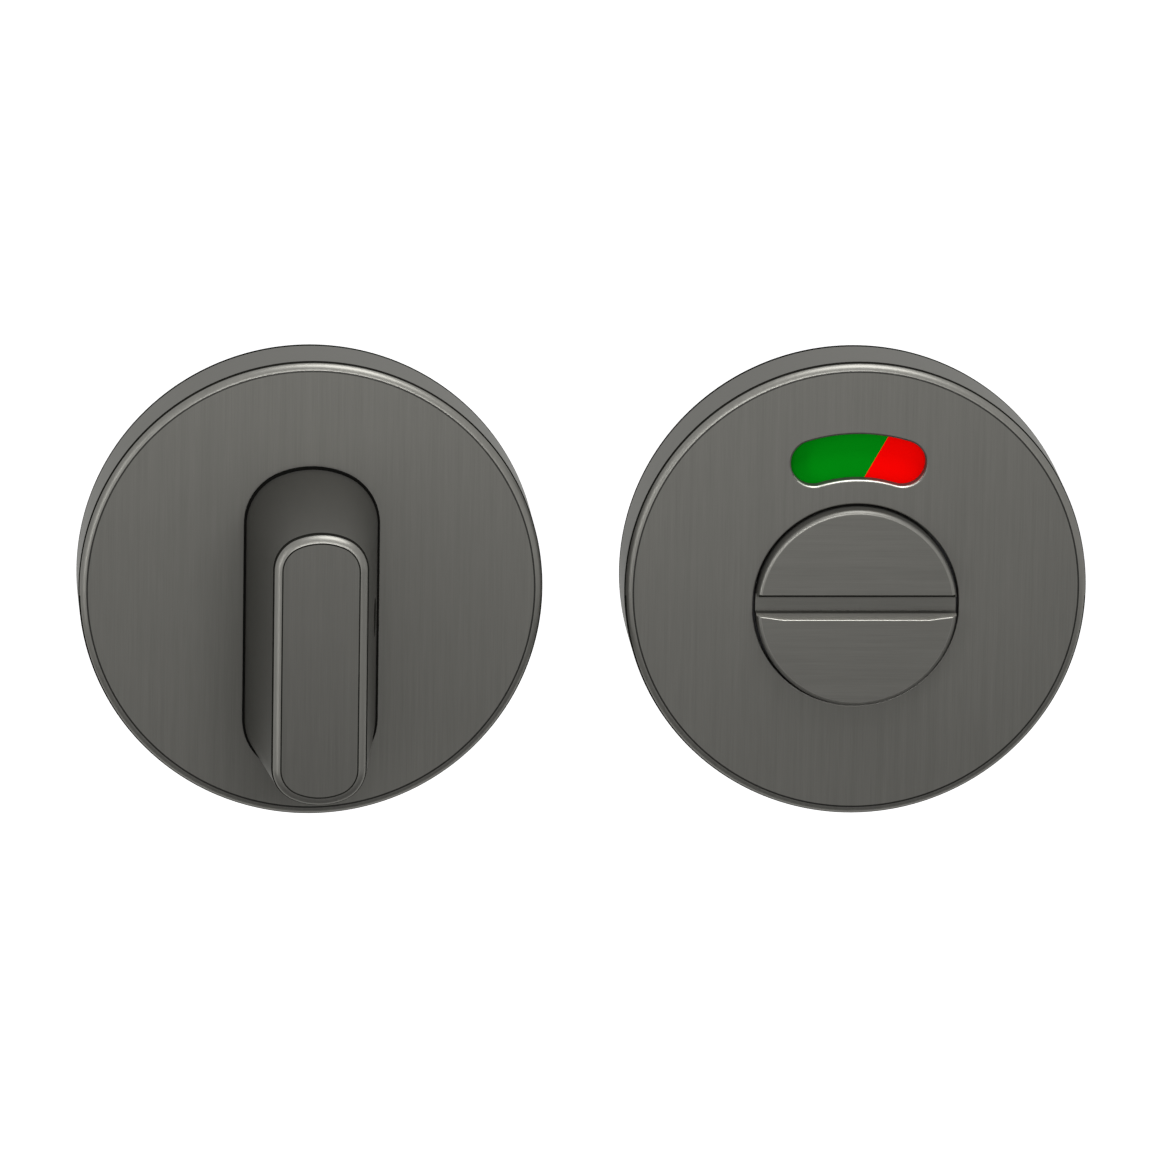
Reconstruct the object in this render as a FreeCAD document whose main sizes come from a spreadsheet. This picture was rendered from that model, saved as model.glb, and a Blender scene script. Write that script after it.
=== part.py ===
import FreeCAD, Part
import math
import os
import Sketcher

# Bathroom lock set: inside rose with a thumb turn, outside rose with a coin
# release and a green/red indicator. Millimetres, +Z up, fronts towards -Y.
# The door's face is the plane Y = 0 and the thumb turn's axis meets it at the
# origin. Heights are measured from the door's face towards the front.

os.makedirs("parts", exist_ok=True)
doc = FreeCAD.newDocument("bathroomThumbTurnLock")

sizes = {
    # layout
    "roseSpacing": 61.2,
    "axisDrop": 1.7,
    # rose covers
    "roseRadius": 26.0,
    "roseThickness": 10.0,
    "coverWall": 1.5,
    "roseEdgeRadius": 1.0,
    "gripGap": 0.05,
    # base plates
    "plateWeb": 2.6,
    "rimWidth": 2.2,
    "rimHeight": 6.4,
    "ribAngle": 60.0,
    "ribHalf": 0.7,
    "ribOverlap": 1.1,
    "backStep": 2.8,
    "backMargin": 3.15,
    "backAngle": 45.0,
    "backSpan": 18.0,
    "backDepth": 1.0,
    "backCorner": 1.2,
    "bossWall": 1.2,
    "recessMargin": 0.8,
    "recessDepth": 3.0,
    "screwBossWall": 1.1,
    "screwBossHeight": 4.6,
    "boltInset": 5.9,
    "releaseBossTop": 6.2,
    # necks, bushes, washers and rings
    "neckRadius": 6.0,
    "neckEnd": 0.6,
    "runningGap": 0.05,
    "curvedGap": 0.3,
    "bushWall": 1.9,
    "bushFlange": 1.5,
    "bushFlangeThick": 0.5,
    "axialGap": 0.1,
    "washerThick": 0.5,
    "washerLip": 1.45,
    "grooveDepth": 0.8,
    "ringThick": 1.0,
    "ringWidth": 2.2,
    "ringEarRadius": 1.3,
    "ringEarHole": 0.6,
    "ringEarOffset": 2.6,
    "ringMouth": 1.1,
    # thumb turn
    "padGap": 0.1,
    "padThick": 0.5,
    "padOverhang": 0.25,
    "turnHeight": 23.2,
    "turnOffset": 1.8,
    "baseWidth": 14.7,
    "baseLength": 35.0,
    "baseInset": 1.35,
    "baseFlat": 2.15,
    "turnDraftAngle": 5.35,
    "turnEdgeRadius": 1.1,
    # spindle and grub screw
    "spindleSide": 6.0,
    "socketGap": 0.05,
    "spindleInTurn": 12.0,
    "spindleEndGap": 0.3,
    "spindleBehind": 46.0,
    "spindleChamfer": 0.8,
    "grubRadius": 2.0,
    "grubHeight": 5.2,
    "grubLength": 3.2,
    "grubHexRadius": 1.15,
    "grubHexDepth": 1.6,
    # through bolts and threaded posts
    "boltRadius": 2.0,
    "boltLength": 44.0,
    "boltHeadRadius": 3.6,
    "boltHeadHeight": 2.4,
    "boltSlotHalf": 0.5,
    "boltSlotDepth": 1.1,
    "boltHoleGap": 0.3,
    "shoulderGap": 0.08,
    "postRadius": 3.4,
    "postLength": 12.0,
    "postHeadRadius": 4.6,
    "postHeadHeight": 1.2,
    "seatDepth": 0.2,
    # release disc and its coin slot
    "discProud": 1.8,
    "discEdgeRadius": 0.5,
    "slotTop": 1.3,
    "slotBottom": 0.75,
    "slotDepth": 2.2,
    "bevelDrop": 1.3,
    "bevelInset": 3.1,
    "bevelDepth": 0.8,
    # indicator and its window
    "windowMargin": 8.1,
    "windowWidth": 5.2,
    "windowBridge": 2.8,
    "windowHalfAngle": 17.1,
    "windowEdge": 0.25,
    "fieldGap": 0.3,
    "fieldThick": 0.3,
    "fieldMargin": 1.0,
    "fieldOverlap": 0.9,
    "splitOuterAngle": 11.4,
    "splitInnerAngle": -0.6,
    "greenEndAngle": -32.0,
    "redEndAngle": 126.0,
    "indicatorThick": 0.9,
    "indicatorBorder": 0.4,
    # stop lug, stop posts and detent
    "lugRadius": 1.2,
    "lugStep": 2.8,
    "lugLength": 1.9,
    "lugAngle": 225.0,
    "swing": 90.0,
    "stopRadius": 1.2,
    "stopTop": 6.7,
    "detentStep": 1.0,
    "detentWall": 1.2,
    "detentBore": 1.2,
    "detentDepth": 3.2,
    "ballRadius": 1.1,
    "ballGap": 0.05,
    "springRadius": 0.85,
    "springWire": 0.18,
    "springPitch": 0.5,
    "dimpleRadius": 0.7,
    "dimpleDepth": 0.25,
}

sheet = doc.addObject("Spreadsheet::Sheet", "P")
for row, (alias, number) in enumerate(sizes.items(), start=1):
    sheet.set("A%d" % row, alias)
    sheet.set("B%d" % row, str(number))
    sheet.setAlias("B%d" % row, alias)
doc.recompute()


class Size:
    """A length or angle that holds its number and its sheet expression."""

    def __init__(self, number, text):
        self.number = number
        self.text = text

    def join(self, other, sign, number):
        return Size(number, "(%s %s %s)" % (self.text, sign, asSize(other).text))

    def __add__(self, other):
        return self.join(other, "+", self.number + asSize(other).number)

    def __sub__(self, other):
        return self.join(other, "-", self.number - asSize(other).number)

    def __mul__(self, other):
        return self.join(other, "*", self.number * asSize(other).number)

    def __truediv__(self, other):
        return self.join(other, "/", self.number / asSize(other).number)

    def __neg__(self):
        return Size(-self.number, "(-1 * %s)" % self.text)

    def sine(self):
        return Size(math.sin(math.radians(self.number)), "sin(%s)" % self.text)

    def cosine(self):
        return Size(math.cos(math.radians(self.number)), "cos(%s)" % self.text)


def asSize(item):
    return item if isinstance(item, Size) else Size(float(item), "%.6f" % item)


class Sheet:
    """The sheet's named values as sizes."""


s = Sheet()
for alias, number in sizes.items():
    setattr(s, alias, Size(number, "P." + alias))

zero = Size(0.0, "0")
turnX = zero
releaseX = s.roseSpacing
roseZ = s.axisDrop
coverInner = s.roseThickness - s.coverWall
plateRadius = s.roseRadius - s.coverWall - s.gripGap
bushBore = s.neckRadius + s.runningGap
bushOuter = bushBore + s.bushWall
washerOuter = bushOuter + s.washerLip
recessRadius = washerOuter + s.recessMargin
bossRadius = recessRadius + s.bossWall
grooveRadius = s.neckRadius - s.grooveDepth
screwBossRadius = s.boltHeadRadius + s.boltHoleGap + s.screwBossWall
turnBase = s.roseThickness + s.padGap + s.padThick
fieldTop = coverInner - s.fieldGap
indicatorFront = fieldTop - s.fieldThick
indicatorBack = indicatorFront - s.indicatorThick
ringTop = s.recessDepth - s.axialGap - s.washerThick
windowOuter = s.roseRadius + s.axisDrop - s.windowMargin
windowInner = windowOuter - s.windowWidth
discHole = windowInner - s.windowBridge
discRadius = discHole - s.curvedGap
bevelHalf = discRadius - s.bevelInset
boltOffset = s.roseRadius - s.coverWall - s.boltInset
postSeat = s.screwBossHeight - s.seatDepth
fieldInner = discHole + s.fieldMargin
fieldOuter = windowOuter + s.fieldOverlap
lugOrbit = bossRadius + s.lugRadius + s.lugStep
stopShift = (s.lugRadius + s.stopRadius + s.curvedGap) / lugOrbit * 57.29578
detentOrbit = bossRadius + s.detentStep
signs = (Size(-1.0, "-1"), Size(1.0, "1"))
nodes = []


# Building blocks

def newBody(label, x=zero, z=zero):
    body = doc.addObject("PartDesign::Body", label)
    body.Label = label
    body.AllowCompound = True
    body.setExpression("Placement.Base.x", x.text)
    body.setExpression("Placement.Base.z", z.text)
    nodes.append(body)
    return body


def originItem(body, role):
    return [item for item in body.Origin.OriginFeatures if item.Role == role][0]


def newSketch(body, name, height, role="XZ_Plane"):
    sketch = body.newObject("Sketcher::SketchObject", name)
    sketch.AttachmentSupport = [(originItem(body, role), "")]
    sketch.MapMode = "FlatFace"
    sketch.setExpression("AttachmentOffset.Base.z", asSize(height).text)
    return sketch


def drive(sketch, kind, places, size):
    """A sketch dimension driven by the sheet."""
    index = sketch.addConstraint(Sketcher.Constraint(kind, *places, size.number))
    sketch.setExpression("Constraints[%d]" % index, size.text)


def pin(sketch, geometry, point, x, z):
    """Holds a sketch point at a place measured from the sketch's origin."""
    for kind, axis, size in (("DistanceX", -2, x), ("DistanceY", -1, z)):
        if size.text == "0":
            sketch.addConstraint(
                Sketcher.Constraint("PointOnObject", geometry, point, axis))
        else:
            drive(sketch, kind, (-1, 1, geometry, point), size)


def addCircle(sketch, radius, x=zero, z=zero):
    centre = FreeCAD.Vector(x.number, z.number, 0)
    axis = FreeCAD.Vector(0, 0, 1)
    index = sketch.addGeometry(Part.Circle(centre, axis, radius.number), False)
    pin(sketch, index, 3, x, z)
    drive(sketch, "Radius", (index,), radius)
    return index


def addPolygon(sketch, corners):
    """A closed polygon, each corner held by its own two sizes."""
    points = [FreeCAD.Vector(x.number, z.number, 0) for x, z in corners]
    first = None
    for number, point in enumerate(points):
        following = points[(number + 1) % len(points)]
        index = sketch.addGeometry(Part.LineSegment(point, following), False)
        first = index if first is None else first
    count = len(points)
    for number in range(count):
        joint = Sketcher.Constraint(
            "Coincident", first + number, 2, first + (number + 1) % count, 1)
        sketch.addConstraint(joint)
    for number, (x, z) in enumerate(corners):
        pin(sketch, first + number, 1, x, z)


def addRectangle(sketch, left, right, bottom, top):
    addPolygon(sketch, [(left, bottom), (right, bottom), (right, top), (left, top)])


def arcBetween(centre, radius, start, end):
    """Arc from one angle to another, in degrees, anticlockwise in the sketch."""
    circle = Part.Circle(centre, FreeCAD.Vector(0, 0, 1), radius)
    return Part.ArcOfCircle(circle, math.radians(start), math.radians(end))


def feature(body, kind, name, sketch, length, reverse=False):
    """A pad or pocket of a sketch."""
    item = body.newObject("PartDesign::" + kind, name)
    item.Profile = sketch
    item.setExpression("Length", asSize(length).text)
    item.Reversed = reverse
    body.Tip = item
    sketch.Visibility = False
    return item


def pad(body, name, bottom, top, draw):
    sketch = newSketch(body, name + "Sketch", bottom)
    draw(sketch)
    return feature(body, "Pad", name, sketch, asSize(top) - bottom)


def pocket(body, name, top, bottom, draw):
    sketch = newSketch(body, name + "Sketch", top)
    draw(sketch)
    return feature(body, "Pocket", name, sketch, asSize(top) - bottom)


def circles(*items):
    """Draws circles given as (radius,) or (radius, x, z)."""
    def draw(sketch):
        for item in items:
            addCircle(sketch, *item)
    return draw


def dressEdges(body, kind, name, word, size, test):
    """A fillet or chamfer on the edges of the body's tip that pass a test."""
    doc.recompute()
    base = body.Tip
    names = []
    for number, edge in enumerate(base.Shape.Edges, start=1):
        if test(edge):
            names.append("Edge%d" % number)
    item = body.newObject("PartDesign::" + kind, name)
    item.Base = (base, names)
    item.setExpression(word, size.text)
    body.Tip = item
    return item


def liesAt(edge, height):
    box = edge.BoundBox
    return abs(box.YMin + height.number) < 1e-4 and abs(box.YMax + height.number) < 1e-4


# Rose covers

def makeCover(label, x, holeRadius):
    body = newBody(label, x)
    pad(body, label + "Disc", zero, s.roseThickness, circles((s.roseRadius, zero, roseZ)))
    dressEdges(
        body, "Fillet", label + "Edge", "Radius", s.roseEdgeRadius,
        lambda edge: liesAt(edge, s.roseThickness))
    pocket(body, label + "Hollow", coverInner, zero,
           circles((s.roseRadius - s.coverWall, zero, roseZ)))
    pocket(body, label + "Hole", s.roseThickness, coverInner,
           circles((holeRadius,)))
    return body


def drawWindow(sketch):
    """Bean slot about the release's axis."""
    centre = FreeCAD.Vector(0, 0, 0)
    middle = (windowInner + windowOuter) / 2
    half = s.windowHalfAngle.number
    capX = middle * s.windowHalfAngle.sine()
    capZ = middle * s.windowHalfAngle.cosine()
    capRadius = (windowOuter.number - windowInner.number) / 2
    left = centre + FreeCAD.Vector(-capX.number, capZ.number, 0)
    right = centre + FreeCAD.Vector(capX.number, capZ.number, 0)
    arcs = [
        arcBetween(centre, windowOuter.number, 90 - half, 90 + half),
        arcBetween(left, capRadius, 90 + half, 270 + half),
        arcBetween(centre, windowInner.number, 90 - half, 90 + half),
        arcBetween(right, capRadius, 270 - half, 450 - half),
    ]
    for arc in arcs:
        sketch.addGeometry(arc, False)
    for one, end, other, start in ((0, 2, 1, 1), (1, 2, 2, 2), (2, 1, 3, 1), (3, 2, 0, 1)):
        sketch.addConstraint(Sketcher.Constraint("Tangent", one, end, other, start))
    pin(sketch, 0, 3, zero, zero)
    pin(sketch, 2, 3, zero, zero)
    drive(sketch, "Radius", (0,), windowOuter)
    drive(sketch, "Radius", (2,), windowInner)
    drive(sketch, "DistanceX", (-1, 1, 3, 3), capX)
    drive(sketch, "DistanceX", (1, 3, -1, 1), capX)


def makeCovers():
    makeCover("turn_cover", turnX, s.neckRadius + s.curvedGap)
    body = makeCover("release_cover", releaseX, discHole)
    pocket(body, "window", s.roseThickness, coverInner, drawWindow)
    dressEdges(
        body, "Fillet", "windowEdge", "Radius", s.windowEdge,
        lambda edge: liesAt(edge, s.roseThickness)
        and edge.BoundBox.ZMin > discHole.number)


# Base plates and bushes

def makePlate(label, x, bossTop):
    body = newBody(label, x)
    pad(body, label + "Web", zero, s.plateWeb, circles((plateRadius, zero, roseZ)))
    pad(body, label + "Rim", s.plateWeb, s.rimHeight,
        circles((plateRadius, zero, roseZ), (plateRadius - s.rimWidth, zero, roseZ)))
    pad(body, label + "Boss", s.plateWeb, bossTop, circles((bossRadius,)))
    pad(body, label + "Ribs", s.plateWeb, s.screwBossHeight, drawRibs)
    pad(body, label + "ScrewBosses", s.plateWeb, s.screwBossHeight, pair(screwBossRadius))
    pocket(body, label + "Recess", s.recessDepth, zero, circles((recessRadius,)))
    pocket(body, label + "Bore", bossTop, s.recessDepth, circles((bushOuter,)))
    pocket(body, label + "Back", s.backDepth, zero, drawBackPockets)
    dressEdges(body, "Fillet", label + "BackCorners", "Radius", s.backCorner, isPocketCorner)
    return body


def drawBackPockets(sketch):
    """Four shallow pockets in the plate's back, between its recess and its rim."""
    inner = bossRadius + s.backStep
    outer = plateRadius - s.backMargin
    early, late = s.backAngle - s.backSpan, s.backAngle + s.backSpan
    for side in signs:
        for level in signs:
            corners = []
            for reach, angle in ((inner, early), (outer, early), (outer, late), (inner, late)):
                corners.append((side * (reach * angle.sine()),
                                level * (reach * angle.cosine()) + roseZ))
            addPolygon(sketch, corners)


def isPocketCorner(edge):
    """An upright edge as long as the back pockets are deep."""
    box = edge.BoundBox
    upright = box.XLength < 0.001 and box.ZLength < 0.001
    return upright and abs(box.YLength - s.backDepth.number) < 0.001 and box.YMax > -0.001


def drawRibs(sketch):
    """Four ribs between the plate's boss and its rim, radial to the rose."""
    inner = bossRadius - s.ribOverlap
    outer = plateRadius - s.rimWidth + s.ribOverlap
    across, up = s.ribAngle.sine(), s.ribAngle.cosine()
    for side in signs:
        for level in signs:
            corners = []
            for reach, half in ((inner, -s.ribHalf), (outer, -s.ribHalf),
                                (outer, s.ribHalf), (inner, s.ribHalf)):
                x = side * (reach * across + half * up)
                z = level * (reach * up - half * across)
                corners.append((x, z + roseZ))
            addPolygon(sketch, corners)


def pair(radius):
    """Two equal circles at the bolts' places on a plate."""
    return circles(*[(radius, sign * boltOffset, zero) for sign in signs])


def orbit(radius, angle):
    """Place at a clockwise angle from the top, about the pivot of a rose."""
    return radius * angle.sine(), radius * angle.cosine()


def makePlates():
    turnTop = coverInner - s.bushFlangeThick
    plate = makePlate("turn_base_plate", turnX, turnTop)
    headFloor = s.screwBossHeight - s.boltHeadHeight
    pocket(plate, "boltHoles", s.screwBossHeight, zero, pair(s.boltRadius + s.boltHoleGap))
    pocket(plate, "boltSeats", coverInner, headFloor,
           pair(s.boltHeadRadius + s.boltHoleGap))

    plate = makePlate("release_base_plate", releaseX, s.releaseBossTop)
    pocket(plate, "postHoles", s.screwBossHeight, zero, pair(s.postRadius))
    pocket(plate, "postSeats", coverInner, postSeat, pair(s.postHeadRadius + s.curvedGap))
    stops = []
    for angle in (s.lugAngle + stopShift, s.lugAngle - s.swing - stopShift):
        stops.append((s.stopRadius, *orbit(lugOrbit, angle)))
    pad(plate, "stopPosts", s.plateWeb, s.stopTop, circles(*stops))
    pad(plate, "detentBossPad", s.plateWeb, s.releaseBossTop,
        circles((s.detentBore + s.detentWall, zero, detentOrbit)))
    pocket(plate, "detentBorePocket", s.releaseBossTop, s.releaseBossTop - s.detentDepth,
           circles((s.detentBore, zero, detentOrbit)))
    pocket(plate, "boreClear", s.releaseBossTop, s.recessDepth,
           circles((bushOuter,)))


def makeBush(label, x, top):
    body = newBody(label, x)
    pad(body, label + "Sleeve", s.recessDepth, top, circles((bushOuter,), (bushBore,)))
    pad(body, label + "Flange", top - s.bushFlangeThick, top,
        circles((bushOuter + s.bushFlange,), (bushBore,)))


def makeWasher(label, x):
    body = newBody(label, x)
    pad(body, label + "Pad", ringTop, ringTop + s.washerThick,
        circles((washerOuter,), (bushBore,)))


def makeRing(label, x):
    """Retaining ring with two eyed ears beside its mouth."""
    body = newBody(label, x)
    bottom = ringTop - s.ringThick
    earDrop = grooveRadius + s.ringWidth - 0.2
    ears = [(s.ringEarRadius, sign * s.ringEarOffset, -earDrop) for sign in signs]
    eyes = [(s.ringEarHole, sign * s.ringEarOffset, -earDrop) for sign in signs]
    pad(body, label + "Ears", bottom, ringTop, circles(*ears))
    pad(body, label + "Pad", bottom, ringTop, circles(((grooveRadius + s.ringWidth),)))
    pocket(body, label + "Inside", ringTop, bottom, circles((grooveRadius,)))
    pocket(body, label + "Eyes", ringTop, bottom, circles(*eyes))
    pocket(body, label + "Mouth", ringTop, bottom,
           lambda sketch: addRectangle(
               sketch, -s.ringMouth, s.ringMouth, -earDrop * 2, -earDrop / 2))


# Necks with their groove and square socket

def addNeck(body, label, top, socketTop):
    pad(body, label + "Neck", s.neckEnd, top, circles((s.neckRadius,)))
    pocket(body, label + "Groove", ringTop, ringTop - s.ringThick,
           circles((s.neckRadius + s.curvedGap,), (grooveRadius,)))
    half = s.spindleSide / 2 + s.socketGap
    pocket(body, label + "Socket", socketTop, s.neckEnd,
           lambda sketch: addRectangle(sketch, -half, half, -half, half))


# Thumb turn

def drawOblong(sketch, grow=zero):
    """Oblong with flattened round ends: straight flanks, corner arcs, end arcs."""
    inset = s.baseInset
    width = s.baseWidth + grow * 2
    length = s.baseLength + grow * 2
    corner = width / 2 - inset
    end = width / 2 + s.baseFlat
    reach = end.number - corner.number
    rise = math.sqrt(reach ** 2 - inset.number ** 2)
    angle = math.degrees(math.atan2(rise, inset.number))
    shift = -s.turnOffset.number
    endZ = length.number / 2 - end.number
    cornerZ = endZ + rise
    half = width.number / 2

    def at(x, z):
        return FreeCAD.Vector(x, z + shift, 0)

    parts = [
        Part.LineSegment(at(half, -cornerZ), at(half, cornerZ)),
        arcBetween(at(inset.number, cornerZ), corner.number, 0, angle),
        arcBetween(at(0, endZ), end.number, angle, 180 - angle),
        arcBetween(at(-inset.number, cornerZ), corner.number, 180 - angle, 180),
        Part.LineSegment(at(-half, cornerZ), at(-half, -cornerZ)),
        arcBetween(at(-inset.number, -cornerZ), corner.number, 180, 180 + angle),
        arcBetween(at(0, -endZ), end.number, 180 + angle, 360 - angle),
        arcBetween(at(inset.number, -cornerZ), corner.number, 360 - angle, 360),
    ]
    for item in parts:
        sketch.addGeometry(item, False)
    for number in range(8):
        joint = Sketcher.Constraint("Tangent", number, 2, (number + 1) % 8, 1)
        sketch.addConstraint(joint)
    for line in (0, 4):
        sketch.addConstraint(Sketcher.Constraint("Vertical", line))
    for arc in (3, 5, 7):
        sketch.addConstraint(Sketcher.Constraint("Equal", 1, arc))
    sketch.addConstraint(Sketcher.Constraint("Equal", 2, 6))
    drive(sketch, "Radius", (1,), corner)
    drive(sketch, "Radius", (2,), end)
    pin(sketch, 2, 3, zero, length / 2 - end - s.turnOffset)
    pin(sketch, 6, 3, zero, end - length / 2 - s.turnOffset)
    drive(sketch, "DistanceX", (-1, 1, 0, 1), width / 2)
    drive(sketch, "DistanceX", (4, 1, -1, 1), width / 2)


def taperFlanks(body, name, height, angle):
    """Drafts every flank of the body's tip, starting at a height."""
    doc.recompute()
    base = body.Tip
    flanks = []
    for number, face in enumerate(base.Shape.Faces, start=1):
        box = face.BoundBox
        if box.YLength > 1e-3:
            flanks.append("Face%d" % number)
        elif abs(box.YMin + height.number) < 1e-4:
            foot = "Face%d" % number
    item = body.newObject("PartDesign::Draft", name)
    item.Base = (base, flanks)
    item.NeutralPlane = (base, [foot])
    item.setExpression("Angle", angle.text)
    item.Reversed = True
    body.Tip = item
    doc.recompute()


def makeGlidePad():
    """Thin pad between the thumb turn and the cover, a little wider than both."""
    def draw(sketch):
        drawOblong(sketch, s.padOverhang)
        addCircle(sketch, s.neckRadius + s.runningGap)

    body = newBody("turn_glide_pad", turnX)
    pad(body, "glidePad", turnBase - s.padThick, turnBase, draw)


def makeTurn():
    body = newBody("thumb_turn", turnX)
    front = turnBase + s.turnHeight
    pad(body, "turnBlock", turnBase, front, drawOblong)
    taperFlanks(body, "turnTaper", turnBase, s.turnDraftAngle)
    dressEdges(body, "Fillet", "turnEdge", "Radius", s.turnEdgeRadius,
               lambda edge: liesAt(edge, front))
    addNeck(body, "turn", turnBase, s.roseThickness + s.spindleInTurn)
    side = newSketch(body, "grubSketch", zero, "YZ_Plane")
    addCircle(side, s.grubRadius, -turnBase - s.grubHeight, zero)
    feature(body, "Pocket", "grubHole", side, s.baseWidth, True)


def makeSpindle():
    """Square bar with chamfered far end."""
    body = newBody("turn_spindle", turnX)
    half = s.spindleSide / 2
    top = s.roseThickness + s.spindleInTurn - s.spindleEndGap
    pad(body, "bar", -s.spindleBehind, top,
        lambda sketch: addRectangle(sketch, -half, half, -half, half))
    dressEdges(body, "Chamfer", "barChamfer", "Size", s.spindleChamfer,
               lambda edge: liesAt(edge, -s.spindleBehind))


def drawHexagon(sketch, radius, x, z):
    """Hexagon on a construction circle."""
    centre = FreeCAD.Vector(x.number, z.number, 0)
    corners = []
    for number in range(6):
        turn = math.radians(60 * number)
        corners.append(centre + FreeCAD.Vector(math.cos(turn), math.sin(turn), 0) * radius.number)
    for number in range(6):
        line = Part.LineSegment(corners[number], corners[(number + 1) % 6])
        sketch.addGeometry(line, False)
    for number in range(6):
        sketch.addConstraint(
            Sketcher.Constraint("Coincident", number, 2, (number + 1) % 6, 1))
    ring = addCircle(sketch, radius, x, z)
    sketch.toggleConstruction(ring)
    for number in range(6):
        sketch.addConstraint(Sketcher.Constraint("PointOnObject", number, 1, ring))
    for number in range(5):
        sketch.addConstraint(Sketcher.Constraint("Equal", number, number + 1))
    sketch.addConstraint(Sketcher.Constraint("PointOnObject", 0, 1, -1))


def makeGrubScrew():
    body = newBody("turn_grub_screw", turnX)
    along = -turnBase - s.grubHeight
    tip = s.spindleSide / 2
    sketch = newSketch(body, "grubRound", tip, "YZ_Plane")
    addCircle(sketch, s.grubRadius, along, zero)
    feature(body, "Pad", "grubBody", sketch, s.grubLength)
    sketch = newSketch(body, "grubHexSketch", tip + s.grubLength, "YZ_Plane")
    drawHexagon(sketch, s.grubHexRadius, along, zero)
    feature(body, "Pocket", "grubHex", sketch, s.grubHexDepth)


# Bolts and threaded posts, each pair in one node

def makeBolts():
    body = newBody("through_bolts", turnX)
    seat = s.screwBossHeight - s.boltHeadHeight
    top = s.screwBossHeight
    pad(body, "boltShanks", seat - s.boltLength, seat, pair(s.boltRadius))
    pad(body, "boltShoulders", zero, seat, pair(s.boltRadius + s.boltHoleGap - s.shoulderGap))
    pad(body, "boltHeads", seat, top, pair(s.boltHeadRadius))
    for name, sign in (("boltSlotLeft", signs[0]), ("boltSlotRight", signs[1])):
        middle = sign * boltOffset
        reach = s.boltHeadRadius + s.boltHoleGap
        pocket(body, name, top, top - s.boltSlotDepth,
               lambda sketch: addRectangle(
                   sketch, middle - reach, middle + reach,
                   -s.boltSlotHalf, s.boltSlotHalf))


def makePosts():
    body = newBody("threaded_posts", releaseX)
    top = postSeat + s.postHeadHeight
    pad(body, "postSleeves", -s.postLength, postSeat, pair(s.postRadius))
    pad(body, "postHeads", postSeat, top, pair(s.postHeadRadius))
    pocket(body, "postBores", top, -s.postLength, pair(s.boltRadius))


# Release disc and indicator

def makeReleaseDisc():
    body = newBody("release_disc", releaseX)
    front = s.roseThickness + s.discProud
    reach = discRadius + s.curvedGap
    pad(body, "discPad", indicatorFront, front, circles((discRadius,)))
    dressEdges(body, "Fillet", "discEdge", "Radius", s.discEdgeRadius,
               lambda edge: liesAt(edge, front))
    addNeck(body, "release", indicatorFront, indicatorFront)
    pocket(body, "coinSlot", front, front - s.slotDepth,
           lambda sketch: addRectangle(sketch, -reach, reach, -s.slotBottom, s.slotTop))
    pocket(body, "slotBevel", front, front - s.bevelDepth,
           lambda sketch: addPolygon(sketch, [
               (-reach, zero), (-reach, -s.slotBottom), (-bevelHalf, -s.bevelDrop),
               (bevelHalf, -s.bevelDrop), (reach, -s.slotBottom), (reach, zero)]))


def makeIndicatorDisc():
    body = newBody("indicator_disc", releaseX)
    pad(body, "indicatorPad", indicatorBack, indicatorFront,
        circles((fieldOuter + s.indicatorBorder,), (s.neckRadius,)))
    lugX, lugZ = orbit(lugOrbit, s.lugAngle)
    pad(body, "stopLug", indicatorBack - s.lugLength, indicatorBack,
        circles((s.lugRadius, lugX, lugZ)))
    sketch = newSketch(body, "dimpleSketch", indicatorBack)
    addCircle(sketch, s.dimpleRadius, zero, detentOrbit)
    addCircle(sketch, s.dimpleRadius, detentOrbit, zero)
    feature(body, "Pocket", "dimples", sketch, s.dimpleDepth, True)


def drawField(sketch, startOuter, startInner, endOuter, endInner):
    """Ring sector between two edges; angles run clockwise from the top."""
    centre = FreeCAD.Vector(0, 0, 0)
    outer = arcBetween(centre, fieldOuter.number,
                       90 - endOuter.number, 90 - startOuter.number)
    inner = arcBetween(centre, fieldInner.number,
                       90 - endInner.number, 90 - startInner.number)
    sketch.addGeometry(outer, False)
    sketch.addGeometry(inner, False)
    sketch.addGeometry(Part.LineSegment(outer.StartPoint, inner.StartPoint), False)
    sketch.addGeometry(Part.LineSegment(outer.EndPoint, inner.EndPoint), False)
    for one, end, other, start in ((0, 1, 2, 1), (2, 2, 1, 1), (0, 2, 3, 1), (3, 2, 1, 2)):
        sketch.addConstraint(Sketcher.Constraint("Coincident", one, end, other, start))
    pin(sketch, 0, 3, zero, zero)
    pin(sketch, 1, 3, zero, zero)
    drive(sketch, "Radius", (0,), fieldOuter)
    drive(sketch, "Radius", (1,), fieldInner)
    drive(sketch, "DistanceX", (-1, 1, 0, 1), fieldOuter * endOuter.sine())
    drive(sketch, "DistanceX", (-1, 1, 0, 2), fieldOuter * startOuter.sine())
    drive(sketch, "DistanceX", (-1, 1, 1, 1), fieldInner * endInner.sine())
    drive(sketch, "DistanceX", (-1, 1, 1, 2), fieldInner * startInner.sine())


def makeFields():
    body = newBody("indicator_green", releaseX)
    pad(body, "greenPad", indicatorFront, fieldTop,
        lambda sketch: drawField(
            sketch, s.greenEndAngle, s.greenEndAngle, s.splitOuterAngle, s.splitInnerAngle))
    body = newBody("indicator_red", releaseX)
    pad(body, "redPad", indicatorFront, fieldTop,
        lambda sketch: drawField(
            sketch, s.splitOuterAngle, s.splitInnerAngle, s.redEndAngle, s.redEndAngle))


# Detent ball and spring in the release's plate

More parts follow.
